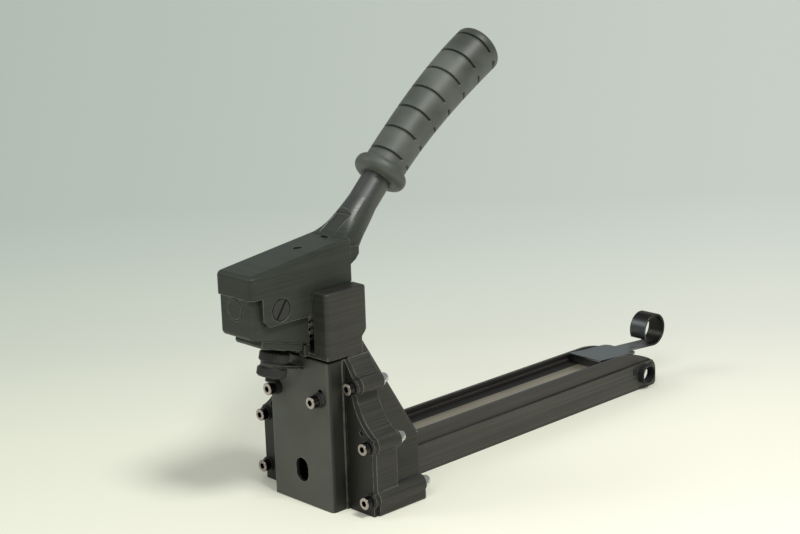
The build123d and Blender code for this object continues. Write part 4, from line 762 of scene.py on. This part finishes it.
class GeometryTree:
    """A Geometry Nodes tree with named size inputs that ends in real mesh and one material."""

    def __init__(self, name: str, sizes: dict[str, float]) -> None:
        """Starts the tree.

        Args:
            name: name of the tree.
            sizes: named inputs with their values.
        """
        self.tree = bpy.data.node_groups.new(name, "GeometryNodeTree")
        self.sheet = Sheet(self.tree)
        self.sizes = sizes
        face = self.tree.interface
        face.new_socket("Geometry", in_out="INPUT", socket_type="NodeSocketGeometry")
        self.identifiers: dict[str, str] = {}
        for label in sizes:
            socket = face.new_socket(label, in_out="INPUT", socket_type="NodeSocketFloat")
            self.identifiers[label] = socket.identifier
        face.new_socket("Geometry", in_out="OUTPUT", socket_type="NodeSocketGeometry")
        self.start = self.sheet.add("NodeGroupInput")

    def size(self, label: str) -> Socket:
        """Socket of a named size."""
        return self.start.outputs[label]

    def spiral(self, turns: str, start: str, end: str, steps: int) -> Socket:
        """Adds a flat spiral about Z.

        Args:
            turns: name of the size that counts its turns.
            start: name of the size of its first radius.
            end: name of the size of its last radius.
            steps: points on each turn.

        Returns:
            The curve.
        """
        inputs = {
            "Resolution": steps,
            "Rotations": self.size(turns),
            "Start Radius": self.size(start),
            "End Radius": self.size(end),
            "Height": 0.0,
        }
        return self.sheet.add("GeometryNodeCurveSpiral", inputs).outputs[0]

    def sweep(self, path: Socket, section: Node) -> Socket:
        """Draws a section along a path, with closed ends."""
        inputs = {"Curve": path, "Profile Curve": section.outputs[0], "Fill Caps": True}
        return self.sheet.add("GeometryNodeCurveToMesh", inputs).outputs[0]

    def close(self, mesh: Socket, finish: Finish) -> None:
        """Ends the tree in real mesh with its material.

        Args:
            mesh: the geometry so far.
            finish: finish of all its faces.
        """
        real = self.sheet.add("GeometryNodeRealizeInstances", {0: mesh})
        dressed = self.sheet.add("GeometryNodeSetMaterial", {0: real.outputs[0]})
        dressed.inputs["Material"].default_value = finish.material()
        self.sheet.add("NodeGroupOutput", {0: dressed.outputs[0]})

    def piece(self, name: str) -> Piece:
        """Runs the tree and keeps its result as a plain mesh.

        Args:
            name: name of the piece.

        Returns:
            The new object, which sits at the origin.
        """
        holder = bpy.data.objects.new(name + "_source", bpy.data.meshes.new(name))
        bpy.context.scene.collection.objects.link(holder)
        modifier = holder.modifiers.new("tree", "NODES")
        modifier.node_group = self.tree
        for label, value in self.sizes.items():
            modifier[self.identifiers[label]] = value
        graph = bpy.context.evaluated_depsgraph_get()
        result = bpy.data.meshes.new_from_object(holder.evaluated_get(graph), depsgraph=graph)
        bpy.data.objects.remove(holder)
        return place_mesh(name, result)


def place_mesh(name: str, mesh: bpy.types.Mesh) -> Piece:
    """Links a mesh as an object at the origin.

    Args:
        name: name of mesh and object.
        mesh: the mesh.

    Returns:
        The new object.
    """
    mesh.name = name
    piece = bpy.data.objects.new(name, mesh)
    bpy.context.scene.collection.objects.link(piece)
    return piece


def solid_mesh(
    name: str, points: Sequence[Point], faces: Sequence[Sequence[int]], finish: Finish
) -> Piece:
    """Makes a piece from points and faces, merged, with its faces turned outwards.

    Args:
        name: name of the piece.
        points: vertices in metres.
        faces: faces by vertex number.
        finish: finish of all its faces.

    Returns:
        The new object, smooth shaded.
    """
    mesh = bpy.data.meshes.new(name)
    mesh.from_pydata([Vector(point) for point in points], [], faces)
    work = bmesh.new()
    work.from_mesh(mesh)
    bmesh.ops.remove_doubles(work, verts=work.verts, dist=MERGE_DISTANCE)
    bmesh.ops.recalc_face_normals(work, faces=work.faces)
    work.to_mesh(mesh)
    work.free()
    mesh.materials.append(finish.material())
    mesh.shade_smooth()
    return place_mesh(name, mesh)


def mark_sharp(piece: Piece, degrees: float) -> None:
    """Keeps edges that turn more than an angle sharp under smooth shading."""
    piece.data.shade_smooth()
    piece.data.set_sharp_from_angle(angle=math.radians(degrees))


def settle(piece: Piece, body: Body, slot: Slot, *nodes: str) -> Piece:
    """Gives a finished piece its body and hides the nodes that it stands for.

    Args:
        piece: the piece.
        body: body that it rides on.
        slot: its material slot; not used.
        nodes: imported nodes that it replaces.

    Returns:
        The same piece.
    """
    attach(piece, body.value)
    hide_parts(*nodes)
    LOG.info("%s rides on %s with %d faces", piece.name, body.value, len(piece.data.polygons))
    return piece


def tube_faces(first: int, rings: int, around: int) -> list[Sequence[int]]:
    """Four-sided faces between neighbouring rings of points.

    Args:
        first: number of the first ring's first point.
        rings: count of rings.
        around: points on each ring.

    Returns:
        The faces by point number.
    """
    faces: list[Sequence[int]] = []
    for ring in range(rings - 1):
        near = first + ring * around
        far = near + around
        for step in range(around):
            after = (step + 1) % around
            faces.append((near + step, near + after, far + after, far + step))
    return faces


@dataclass
class HandleGrip:
    """Rubber grip on the bent end of the handle, with a rolled collar and broken ring grooves.

    Lengths are millimetres along the handle from the start of its bend, and angles are degrees. A mouth row
    is a place and how far it lies outside the bore, and a groove mark is a place after the groove's start.
    """

    bend_y: float = 78.314
    bend_z: float = 213.014
    bend_radius: float = 473.0
    start_angle: float = 45.0
    length: float = 131.0
    neck_radius: float = 15.0
    end_radius: float = 18.0
    end_round: float = 3.5
    end_rows: int = 8
    end_ring: float = 5.0
    collar_radius: float = 19.2
    collar_length: float = 10.5
    collar_round: float = 4.9
    collar_rows: int = 22
    collar_gaps: Range = (0.4, 1.0)
    bore_radius: float = 10.35
    bore_length: float = 121.8
    bore_rows: int = 16
    mouth: tuple[Range, ...] = ((0.35, 0.5), (0.0, 1.4))
    body_rows: int = 46
    grooves: int = 7
    first_groove: float = 15.5
    groove_step: float = 17.8
    groove_width: float = 1.8
    groove_depth: float = 1.5
    groove_lips: Range = (0.25, 0.2)
    groove_marks: tuple[float, ...] = (-0.9, -0.3, -0.1, 0.1, 0.3, 0.9, 1.5, 1.7, 1.9, 2.1, 2.7)
    bridge: float = 7.0
    bridge_fade: float = 0.6
    bridge_turns: Range = (7.0, 173.0)
    around: int = 144
    sharp: float = 50.0
    slack: float = 1e-6

    def radius(self, distance: float) -> float:
        """Outer radius of the plain grip behind its collar."""
        share = smooth(self.collar_length, self.length, distance)
        return self.neck_radius + (self.end_radius - self.neck_radius) * share

    def collar(self, distance: float) -> float:
        """Gives the outer radius of the rolled collar.

        Args:
            distance: place along the grip.

        Returns:
            The radius, or 0 away from the collar.
        """
        if distance > self.collar_length:
            return 0.0
        inset = max(self.collar_round - distance, distance - self.collar_length + self.collar_round, 0.0)
        return self.collar_radius - self.collar_round + math.sqrt(max(0.0, self.collar_round**2 - inset**2))

    def groove(self, distance: float, turn: float, radius: float) -> float:
        """Depth of the ring grooves at a place on the grip.

        Args:
            distance: place along the grip.
            turn: place around it in degrees.
            radius: outer radius there.

        Returns:
            How far the surface lies below the plain grip.
        """
        half = self.groove_width / 2
        number = round((distance - self.first_groove - half) / self.groove_step)
        number = min(self.grooves - 1, max(0, number))
        middle = self.first_groove + number * self.groove_step + half
        along = 1.0 - smooth(half - self.groove_lips[0], half + self.groove_lips[1], abs(distance - middle))
        if along <= 0.0:
            return 0.0
        away = min(abs((turn - bridge + 180.0) % 360.0 - 180.0) for bridge in self.bridge_turns)
        gap = math.radians(away) * radius
        open_share = smooth(self.bridge / 2 - self.bridge_fade, self.bridge / 2 + self.bridge_fade, gap)
        return self.groove_depth * along * open_share

    def stations(self) -> list[Range]:
        """Draws the outline of the grip from the bore's end round to the far end.

        Returns:
            Its points as distance and radius.
        """
        bore = [self.bore_length * (1.0 - row / self.bore_rows) for row in range(self.bore_rows + 1)]
        outline = [(self.bore_length, 0.0)]
        outline += [(place, self.bore_radius) for place in bore]
        outline += [(place, self.bore_radius + out) for place, out in self.mouth]
        places = [self.collar_length * row / self.collar_rows for row in range(self.collar_rows + 1)]
        outline += [(place, max(self.collar(place), self.radius(place))) for place in places]
        marks = {self.collar_length + self.collar_gaps[0]}
        for number in range(self.grooves):
            edge = self.first_groove + number * self.groove_step
            marks.update(edge + mark for mark in self.groove_marks)
        plain = self.length - self.end_round
        begin = self.collar_length + self.collar_gaps[1]
        marks.update(begin + (plain - begin) * row / self.body_rows for row in range(self.body_rows + 1))
        outline += [(mark, self.radius(mark)) for mark in sorted(marks) if mark <= plain]
        inner = self.radius(self.length) - self.end_round
        for row in range(1, self.end_rows + 1):
            turn = math.radians(90.0 * row / self.end_rows)
            outline.append((plain + self.end_round * math.sin(turn), inner + self.end_round * math.cos(turn)))
        outline.append((self.length, self.end_ring))
        outline.append((self.length, 0.0))
        return outline

    def build(self) -> Piece:
        """Makes the grip on the lever.

        Returns:
            The grip's object.
        """
        start = math.radians(self.start_angle)
        centre_y = self.bend_y + self.bend_radius * math.sin(start)
        centre_z = self.bend_z - self.bend_radius * math.cos(start)
        points: list[Point] = []
        outline = self.stations()
        for distance, radius in outline:
            angle = start - distance / self.bend_radius
            y = centre_y - self.bend_radius * math.sin(angle)
            z = centre_z + self.bend_radius * math.cos(angle)
            grooved = radius > self.neck_radius - self.slack and distance > self.collar_length
            for step in range(self.around):
                turn = 360.0 * step / self.around
                reach = radius - (self.groove(distance, turn, radius) if grooved else 0.0)
                side = reach * math.cos(math.radians(turn))
                under = reach * math.sin(math.radians(turn))
                place = (side, y + under * math.sin(angle), z - under * math.cos(angle))
                points.append((place[0] * MM, place[1] * MM, place[2] * MM))
        faces = tube_faces(0, len(outline), self.around)
        grip = solid_mesh("rubber_grip", points, faces, FINISHES[Slot.RUBBER])
        mark_sharp(grip, self.sharp)
        return settle(grip, Body.LEVER, Slot.RUBBER, "handle_grip")


@dataclass
class ReturnSpring:
    """Coil that lifts the ram, with closed turns at each end. Sizes in metres."""

    y: float = 0.0066
    radius: float = 0.0044
    wire: float = 0.00075
    turns: int = 7
    closed: int = 1
    steps: int = 40
    sides: int = 12
    sharp: float = 50.0

    def build(self) -> Piece:
        """Winds the spring between the casting's floor and the ram's head.

        Returns:
            The spring's object.
        """
        low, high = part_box("return_spring")
        length = high.z - low.z
        thick = 2 * self.wire
        flat = thick * self.closed
        run = length - thick - 2 * flat
        opened = self.turns + self.closed
        whole = opened + self.closed
        sizes = {"Radius": self.radius, "Wire": self.wire, "Turns": float(whole), "Run": run}
        tree = GeometryTree("wound_spring", {**sizes, "Flat": flat, "Y": self.y, "Z": low.z + self.wire})
        sheet = tree.sheet
        spiral = tree.spiral("Turns", "Radius", "Radius", self.steps)
        part = sheet.add("GeometryNodeSplineParameter")
        turn = sheet.math("MULTIPLY", part.outputs["Factor"], tree.size("Turns"))
        first = sheet.remap(turn, (0.0, self.closed), (0.0, tree.size("Flat")))
        middle = sheet.remap(turn, (self.closed, opened), (0.0, tree.size("Run")))
        last = sheet.remap(turn, (opened, whole), (0.0, tree.size("Flat")))
        rise = sheet.math("ADD", sheet.math("ADD", first, middle), last)
        height = sheet.math("ADD", rise, tree.size("Z"))
        lift = sheet.add("ShaderNodeCombineXYZ", {1: tree.size("Y"), 2: height})
        moved = {"Geometry": spiral, "Offset": lift.outputs[0]}
        path = sheet.add("GeometryNodeSetPosition", moved)
        circle = {"Resolution": self.sides, "Radius": tree.size("Wire")}
        section = sheet.add("GeometryNodeCurvePrimitiveCircle", circle)
        tree.close(tree.sweep(path.outputs[0], section), SPRING_WIRE)
        spring = tree.piece("wound_return_spring")
        mark_sharp(spring, self.sharp)
        settle(spring, Body.FRAME, Slot.BLACKENED, "return_spring")
        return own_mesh(spring)


@dataclass
class RibbonDrive:
    """Flat ribbon along the core and its rolled end in the pusher. Sizes in metres."""

    crown: float = 0.00012
    thickness: float = 0.0002
    across: int = 10
    along: int = 90
    roll_turns: float = 5.0
    roll_inner: float = 0.00135
    roll_thinning: float = 0.8
    roll_steps: int = 36
    sharp: float = 40.0

    def strip_faces(self, under: int) -> list[Sequence[int]]:
        """Faces of the strip's top, underside and rim.

        Args:
            under: number of the first point on the underside.

        Returns:
            The faces by point number.
        """
        width = self.across + 1
        faces: list[Sequence[int]] = []
        for row in range(self.along):
            for column in range(self.across):
                top = row * width + column
                low = under + top
                faces.append((top, top + 1, top + width + 1, top + width))
                faces.append((low, low + width, low + width + 1, low + 1))
        rim = list(range(width))
        rim += [row * width + self.across for row in range(1, self.along + 1)]
        rim += [self.along * width + column for column in range(self.across - 1, -1, -1)]
        rim += [row * width for row in range(self.along - 1, 0, -1)]
        for number, first in enumerate(rim):
            second = rim[(number + 1) % len(rim)]
            faces.append((first, under + first, under + second, second))
        return faces

    def ribbon(self) -> Piece:
        """Makes the slightly crowned strip, which on the real tool shortens as the pusher comes forward.

        Returns:
            The ribbon's object.
        """
        low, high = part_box("ribbon_spring")
        half = (high.x - low.x) / 2
        length = high.y - low.y
        top: list[Point] = []
        under: list[Point] = []
        for row in range(self.along + 1):
            y = low.y + length * row / self.along
            for column in range(self.across + 1):
                share = 2.0 * column / self.across - 1.0
                z = high.z - self.crown * share * share
                top.append((share * half, y, z))
                under.append((share * half, y, z - self.thickness))
        faces = self.strip_faces(len(top))
        ribbon = solid_mesh("drawn_ribbon", top + under, faces, FINISHES[Slot.RIBBON])
        mark_sharp(ribbon, self.sharp)
        settle(ribbon, Body.FRAME, Slot.RIBBON, "ribbon_spring")
        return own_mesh(ribbon)

    def roll(self) -> Piece:
        """Winds the ribbon's free end on its pin.

        Returns:
            The roll's object.
        """
        low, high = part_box("ribbon_coil")
        outer = (high.y - low.y) / 2 - self.thickness / 2
        sizes = {"Inner": self.roll_inner, "Outer": outer, "Turns": self.roll_turns, "Width": high.x - low.x}
        tree = GeometryTree("rolled_ribbon", {**sizes, "Sheet": self.thickness * self.roll_thinning})
        spiral = tree.spiral("Turns", "Inner", "Outer", self.roll_steps)
        oblong = {0: tree.size("Sheet"), 1: tree.size("Width")}
        section = tree.sheet.add("GeometryNodeCurvePrimitiveQuadrilateral", oblong)
        tree.close(tree.sweep(spiral, section), FINISHES[Slot.RIBBON])
        roll = tree.piece("rolled_ribbon_end")
        middle = (low + high) / 2
        roll.data.transform(Matrix.Translation(middle) @ Matrix.Rotation(math.radians(90), 4, "Y"))
        mark_sharp(roll, self.sharp)
        return settle(roll, Body.RIBBON_ROLL, Slot.RIBBON, "ribbon_coil")


@dataclass
class ThreadedStud:
    """Adjuster's leaning stud with its thread. Sizes in metres."""

    pitch: float = 0.00125
    depth: float = 0.0007
    run_out: float = 0.0008
    around: int = 40
    rows_per_turn: int = 8

    def reach(self, radius: float, length: float, z: float, share: float) -> float:
        """Radius of the thread at a place on the stud.

        Args:
            radius: outer radius.
            length: length of the stud.
            z: height above its lower end.
            share: part of a turn round it.

        Returns:
            The radius there.
        """
        phase = (z / self.pitch - share) % 1.0
        cut = 1.0 - abs(2.0 * phase - 1.0)
        end = 1.0 - min(z, length - z) / self.run_out
        return radius - self.depth * max(cut, end)

    def build(self) -> Piece:
        """Cuts the thread round the stud's whole length.

        Returns:
            The stud's object.
        """
        low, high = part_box("adjuster_stud")
        axis = Vector(joint("lock_nut_turn")["axis"])
        radius = (high.x - low.x) / 2
        length = (high.z - low.z - 2 * radius * axis.y) / axis.z
        rows = int(length / self.pitch * self.rows_per_turn)
        points: list[Point] = [(0.0, 0.0, 0.0)]
        for row in range(rows + 1):
            z = length * row / rows
            for step in range(self.around):
                share = step / self.around
                reach = self.reach(radius, length, z, share)
                turn = 2.0 * math.pi * share
                points.append((reach * math.cos(turn), reach * math.sin(turn), z))
        points.append((0.0, 0.0, length))
        last = len(points) - 1
        top = 1 + rows * self.around
        faces = tube_faces(1, rows + 1, self.around)
        for step in range(self.around):
            after = (step + 1) % self.around
            faces.append((0, 1 + after, 1 + step))
            faces.append((last, top + step, top + after))
        stud = solid_mesh("threaded_stud", points, faces, FINISHES[Slot.BLACKENED])
        lean = Vector((0.0, 0.0, 1.0)).rotation_difference(axis).to_matrix().to_4x4()
        foot = (low + high) / 2 - axis * (length / 2)
        stud.data.transform(Matrix.Translation(foot) @ lean)
        return settle(stud, Body.FRAME, Slot.BLACKENED, "adjuster_stud")


class Dresser:
    """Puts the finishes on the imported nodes."""

    def __init__(self, frame: dict) -> None:
        """Keeps the loaded frame."""
        self.frame = frame

    def dress(self) -> None:
        """Gives every node the finish of its material slot."""
        for row in self.frame["record"]["subparts"]:
            node = self.frame["nodes"][row["node"]]
            finish = FINISHES[Slot(row["material_slot"])]
            node.data.materials.clear()
            node.data.materials.append(finish.material())
            LOG.info("%s has finish %s", row["node"], finish.name)


@dataclass(frozen=True)
class Lamp:
    """One broad light that falls evenly over tool and floor.

    Azimuth and elevation say where it stands, and spread is its width, all in degrees. Strength is the light
    on a face that looks at it, and distance is in metres.
    """

    name: str
    azimuth: float
    elevation: float
    strength: float
    spread: float
    tint: Colour
    distance: float = 3.0

    def build(self, target: Point) -> None:
        """Makes the lamp.

        Args:
            target: place that it looks at.
        """
        toward = direction(self.azimuth, self.elevation)
        data = bpy.data.lights.new(self.name, "SUN")
        data.energy = self.strength
        data.angle = math.radians(self.spread)
        data.color = self.tint
        lamp = bpy.data.objects.new(self.name, data)
        lamp.location = Vector(target) + toward * self.distance
        lamp.rotation_euler = toward.to_track_quat("Z", "Y").to_euler()
        bpy.context.scene.collection.objects.link(lamp)


@dataclass
class Studio:
    """Pale floor, soft lights and the camera at the photograph's angle.

    Lengths are metres, angles are degrees, and tones are colours as a screen shows them. Each floor tone has
    its share of the way from the near end of the floor's depths to the far end.
    """

    azimuth: float = 46.43
    elevation: float = 14.48
    roll: float = -1.83
    target: Point = (0.00931, 0.08886, 0.150)
    distance: float = 1.20481
    focal_pixels: float = 1739.45
    frame_width: float = 800.0
    sensor: float = 36.0
    sight: float = 100.0
    floor_radius: float = 30.0
    floor_corners: int = 96
    floor_depths: Range = (-0.25, 0.95)
    near_tone: Tone = (255, 255, 239)
    far_tone: Tone = (187, 196, 188)
    floor_tones: tuple[tuple[float, Tone], ...] = (
        (0.175, (248, 249, 232)),
        (0.325, (236, 238, 221)),
        (0.525, (212, 217, 205)),
        (0.79, (196, 204, 195)),
    )
    floor_roughness: float = 0.9
    floor_gloss: float = 0.1
    # Painted falloff of the light: darker to the left, lighter to the right.
    left_tone: Colour = (0.80, 0.81, 0.81)
    right_tone: Colour = (1.05, 1.01, 1.04)
    side_slants: Range = (-0.22, 0.22)
    eye_depth: float = 1.3
    room_tone: Tone = (214, 219, 216)
    room_strength: float = 0.57
    wall_tone: Tone = (190, 200, 193)
    wall_strength: float = 1.0
    lamps: tuple[Lamp, ...] = (
        Lamp("key_light", -41.0, 34.0, 0.5, 24.0, (1.0, 1.0, 0.98)),
        Lamp("side_light", 88.0, 55.0, 1.9, 16.0, (1.0, 0.99, 0.96)),
        Lamp("front_light", 28.0, 46.0, 0.6, 34.0, (1.0, 1.0, 0.98)),
    )

    def beside(self) -> Vector:
        """Level direction to the camera's right."""
        return direction(self.azimuth + 90.0, 0.0)

    def camera(self) -> None:
        """Makes the camera."""
        roll = math.radians(self.roll)
        back = direction(self.azimuth, self.elevation)
        right = self.beside()
        up = back.cross(right)
        side = right * math.cos(roll) + up * math.sin(roll)
        above = up * math.cos(roll) - right * math.sin(roll)
        data = bpy.data.cameras.new("photo_camera")
        data.sensor_fit = "HORIZONTAL"
        data.sensor_width = self.sensor
        data.lens = self.focal_pixels / self.frame_width * self.sensor
        data.clip_end = self.sight
        camera = bpy.data.objects.new("photo_camera", data)
        place = Matrix((side, above, back)).transposed().to_4x4()
        place.translation = Vector(self.target) + back * self.distance
        camera.matrix_world = place
        bpy.context.scene.collection.objects.link(camera)
        bpy.context.scene.camera = camera

    def floor_material(self) -> Material:
        """Makes the floor's material, cream near the tool and grey-green far behind it, darker to the left;
        these changes are painted falloff of the light.

        Returns:
            The material.
        """
        material = bpy.data.materials.new("pale_floor")
        sheet = blank_sheet(material)
        place = sheet.place()
        depth = sheet.dot(place, tuple(-direction(self.azimuth, 0.0)))
        aside = sheet.dot(place, tuple(self.beside()))
        slant = sheet.math("DIVIDE", aside, sheet.math("ADD", depth, self.eye_depth))
        side_share = sheet.remap(slant, self.side_slants)
        level = sheet.mix(side_share, (*self.left_tone, 1.0), (*self.right_tone, 1.0))
        # Painted falloff of the light: darker towards the far end.
        ramp = sheet.add("ShaderNodeValToRGB", {0: sheet.remap(depth, self.floor_depths)})
        stops = ramp.color_ramp.elements
        stops[0].color = paint(self.near_tone)
        stops[1].color = paint(self.far_tone)
        for share, tone in self.floor_tones:
            stops.new(share).color = paint(tone)
        shader = {
            "Base Color": sheet.vector("MULTIPLY", ramp.outputs[0], level).outputs[0],
            "Roughness": self.floor_roughness,
            "Specular IOR Level": self.floor_gloss,
        }
        surface = sheet.add("ShaderNodeBsdfPrincipled", shader)
        sheet.add("ShaderNodeOutputMaterial", {"Surface": surface.outputs[0]})
        return material

    def floor(self) -> None:
        """Makes the floor."""
        work = bmesh.new()
        bmesh.ops.create_circle(work, cap_ends=True, segments=self.floor_corners, radius=self.floor_radius)
        mesh = bpy.data.meshes.new("floor")
        work.to_mesh(mesh)
        work.free()
        floor = place_mesh("floor", mesh)
        mesh.materials.append(self.floor_material())

    def world(self) -> None:
        """Makes the even light of the room, and the pale wall that the camera sees."""
        world = bpy.data.worlds.new("room")
        bpy.context.scene.world = world
        sheet = blank_sheet(world)
        shades = []
        for tone, strength in ((self.room_tone, self.room_strength), (self.wall_tone, self.wall_strength)):
            inputs = {"Color": paint(tone), "Strength": strength}
            shades.append(sheet.add("ShaderNodeBackground", inputs).outputs[0])
        path = sheet.add("ShaderNodeLightPath")
        parts = {0: path.outputs["Is Camera Ray"], 1: shades[0], 2: shades[1]}
        both = sheet.add("ShaderNodeMixShader", parts)
        sheet.add("ShaderNodeOutputWorld", {"Surface": both.outputs[0]})

    def build(self) -> None:
        """Makes camera, floor, room and lamps."""
        bpy.context.scene.view_settings.view_transform = "Standard"
        self.camera()
        self.floor()
        self.world()
        for lamp in self.lamps:
            lamp.build(self.target)


def main() -> None:
    """Builds the pieces in order."""
    logging.basicConfig(level=logging.INFO, format="%(name)s: %(message)s")
    FRAME.update(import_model())
    Studio().build()
    Dresser(FRAME).dress()
    HandleGrip().build()
    ReturnSpring().build()
    drive = RibbonDrive()
    drive.ribbon()
    drive.roll()
    ThreadedStud().build()


if __name__ == "__main__":
    main()
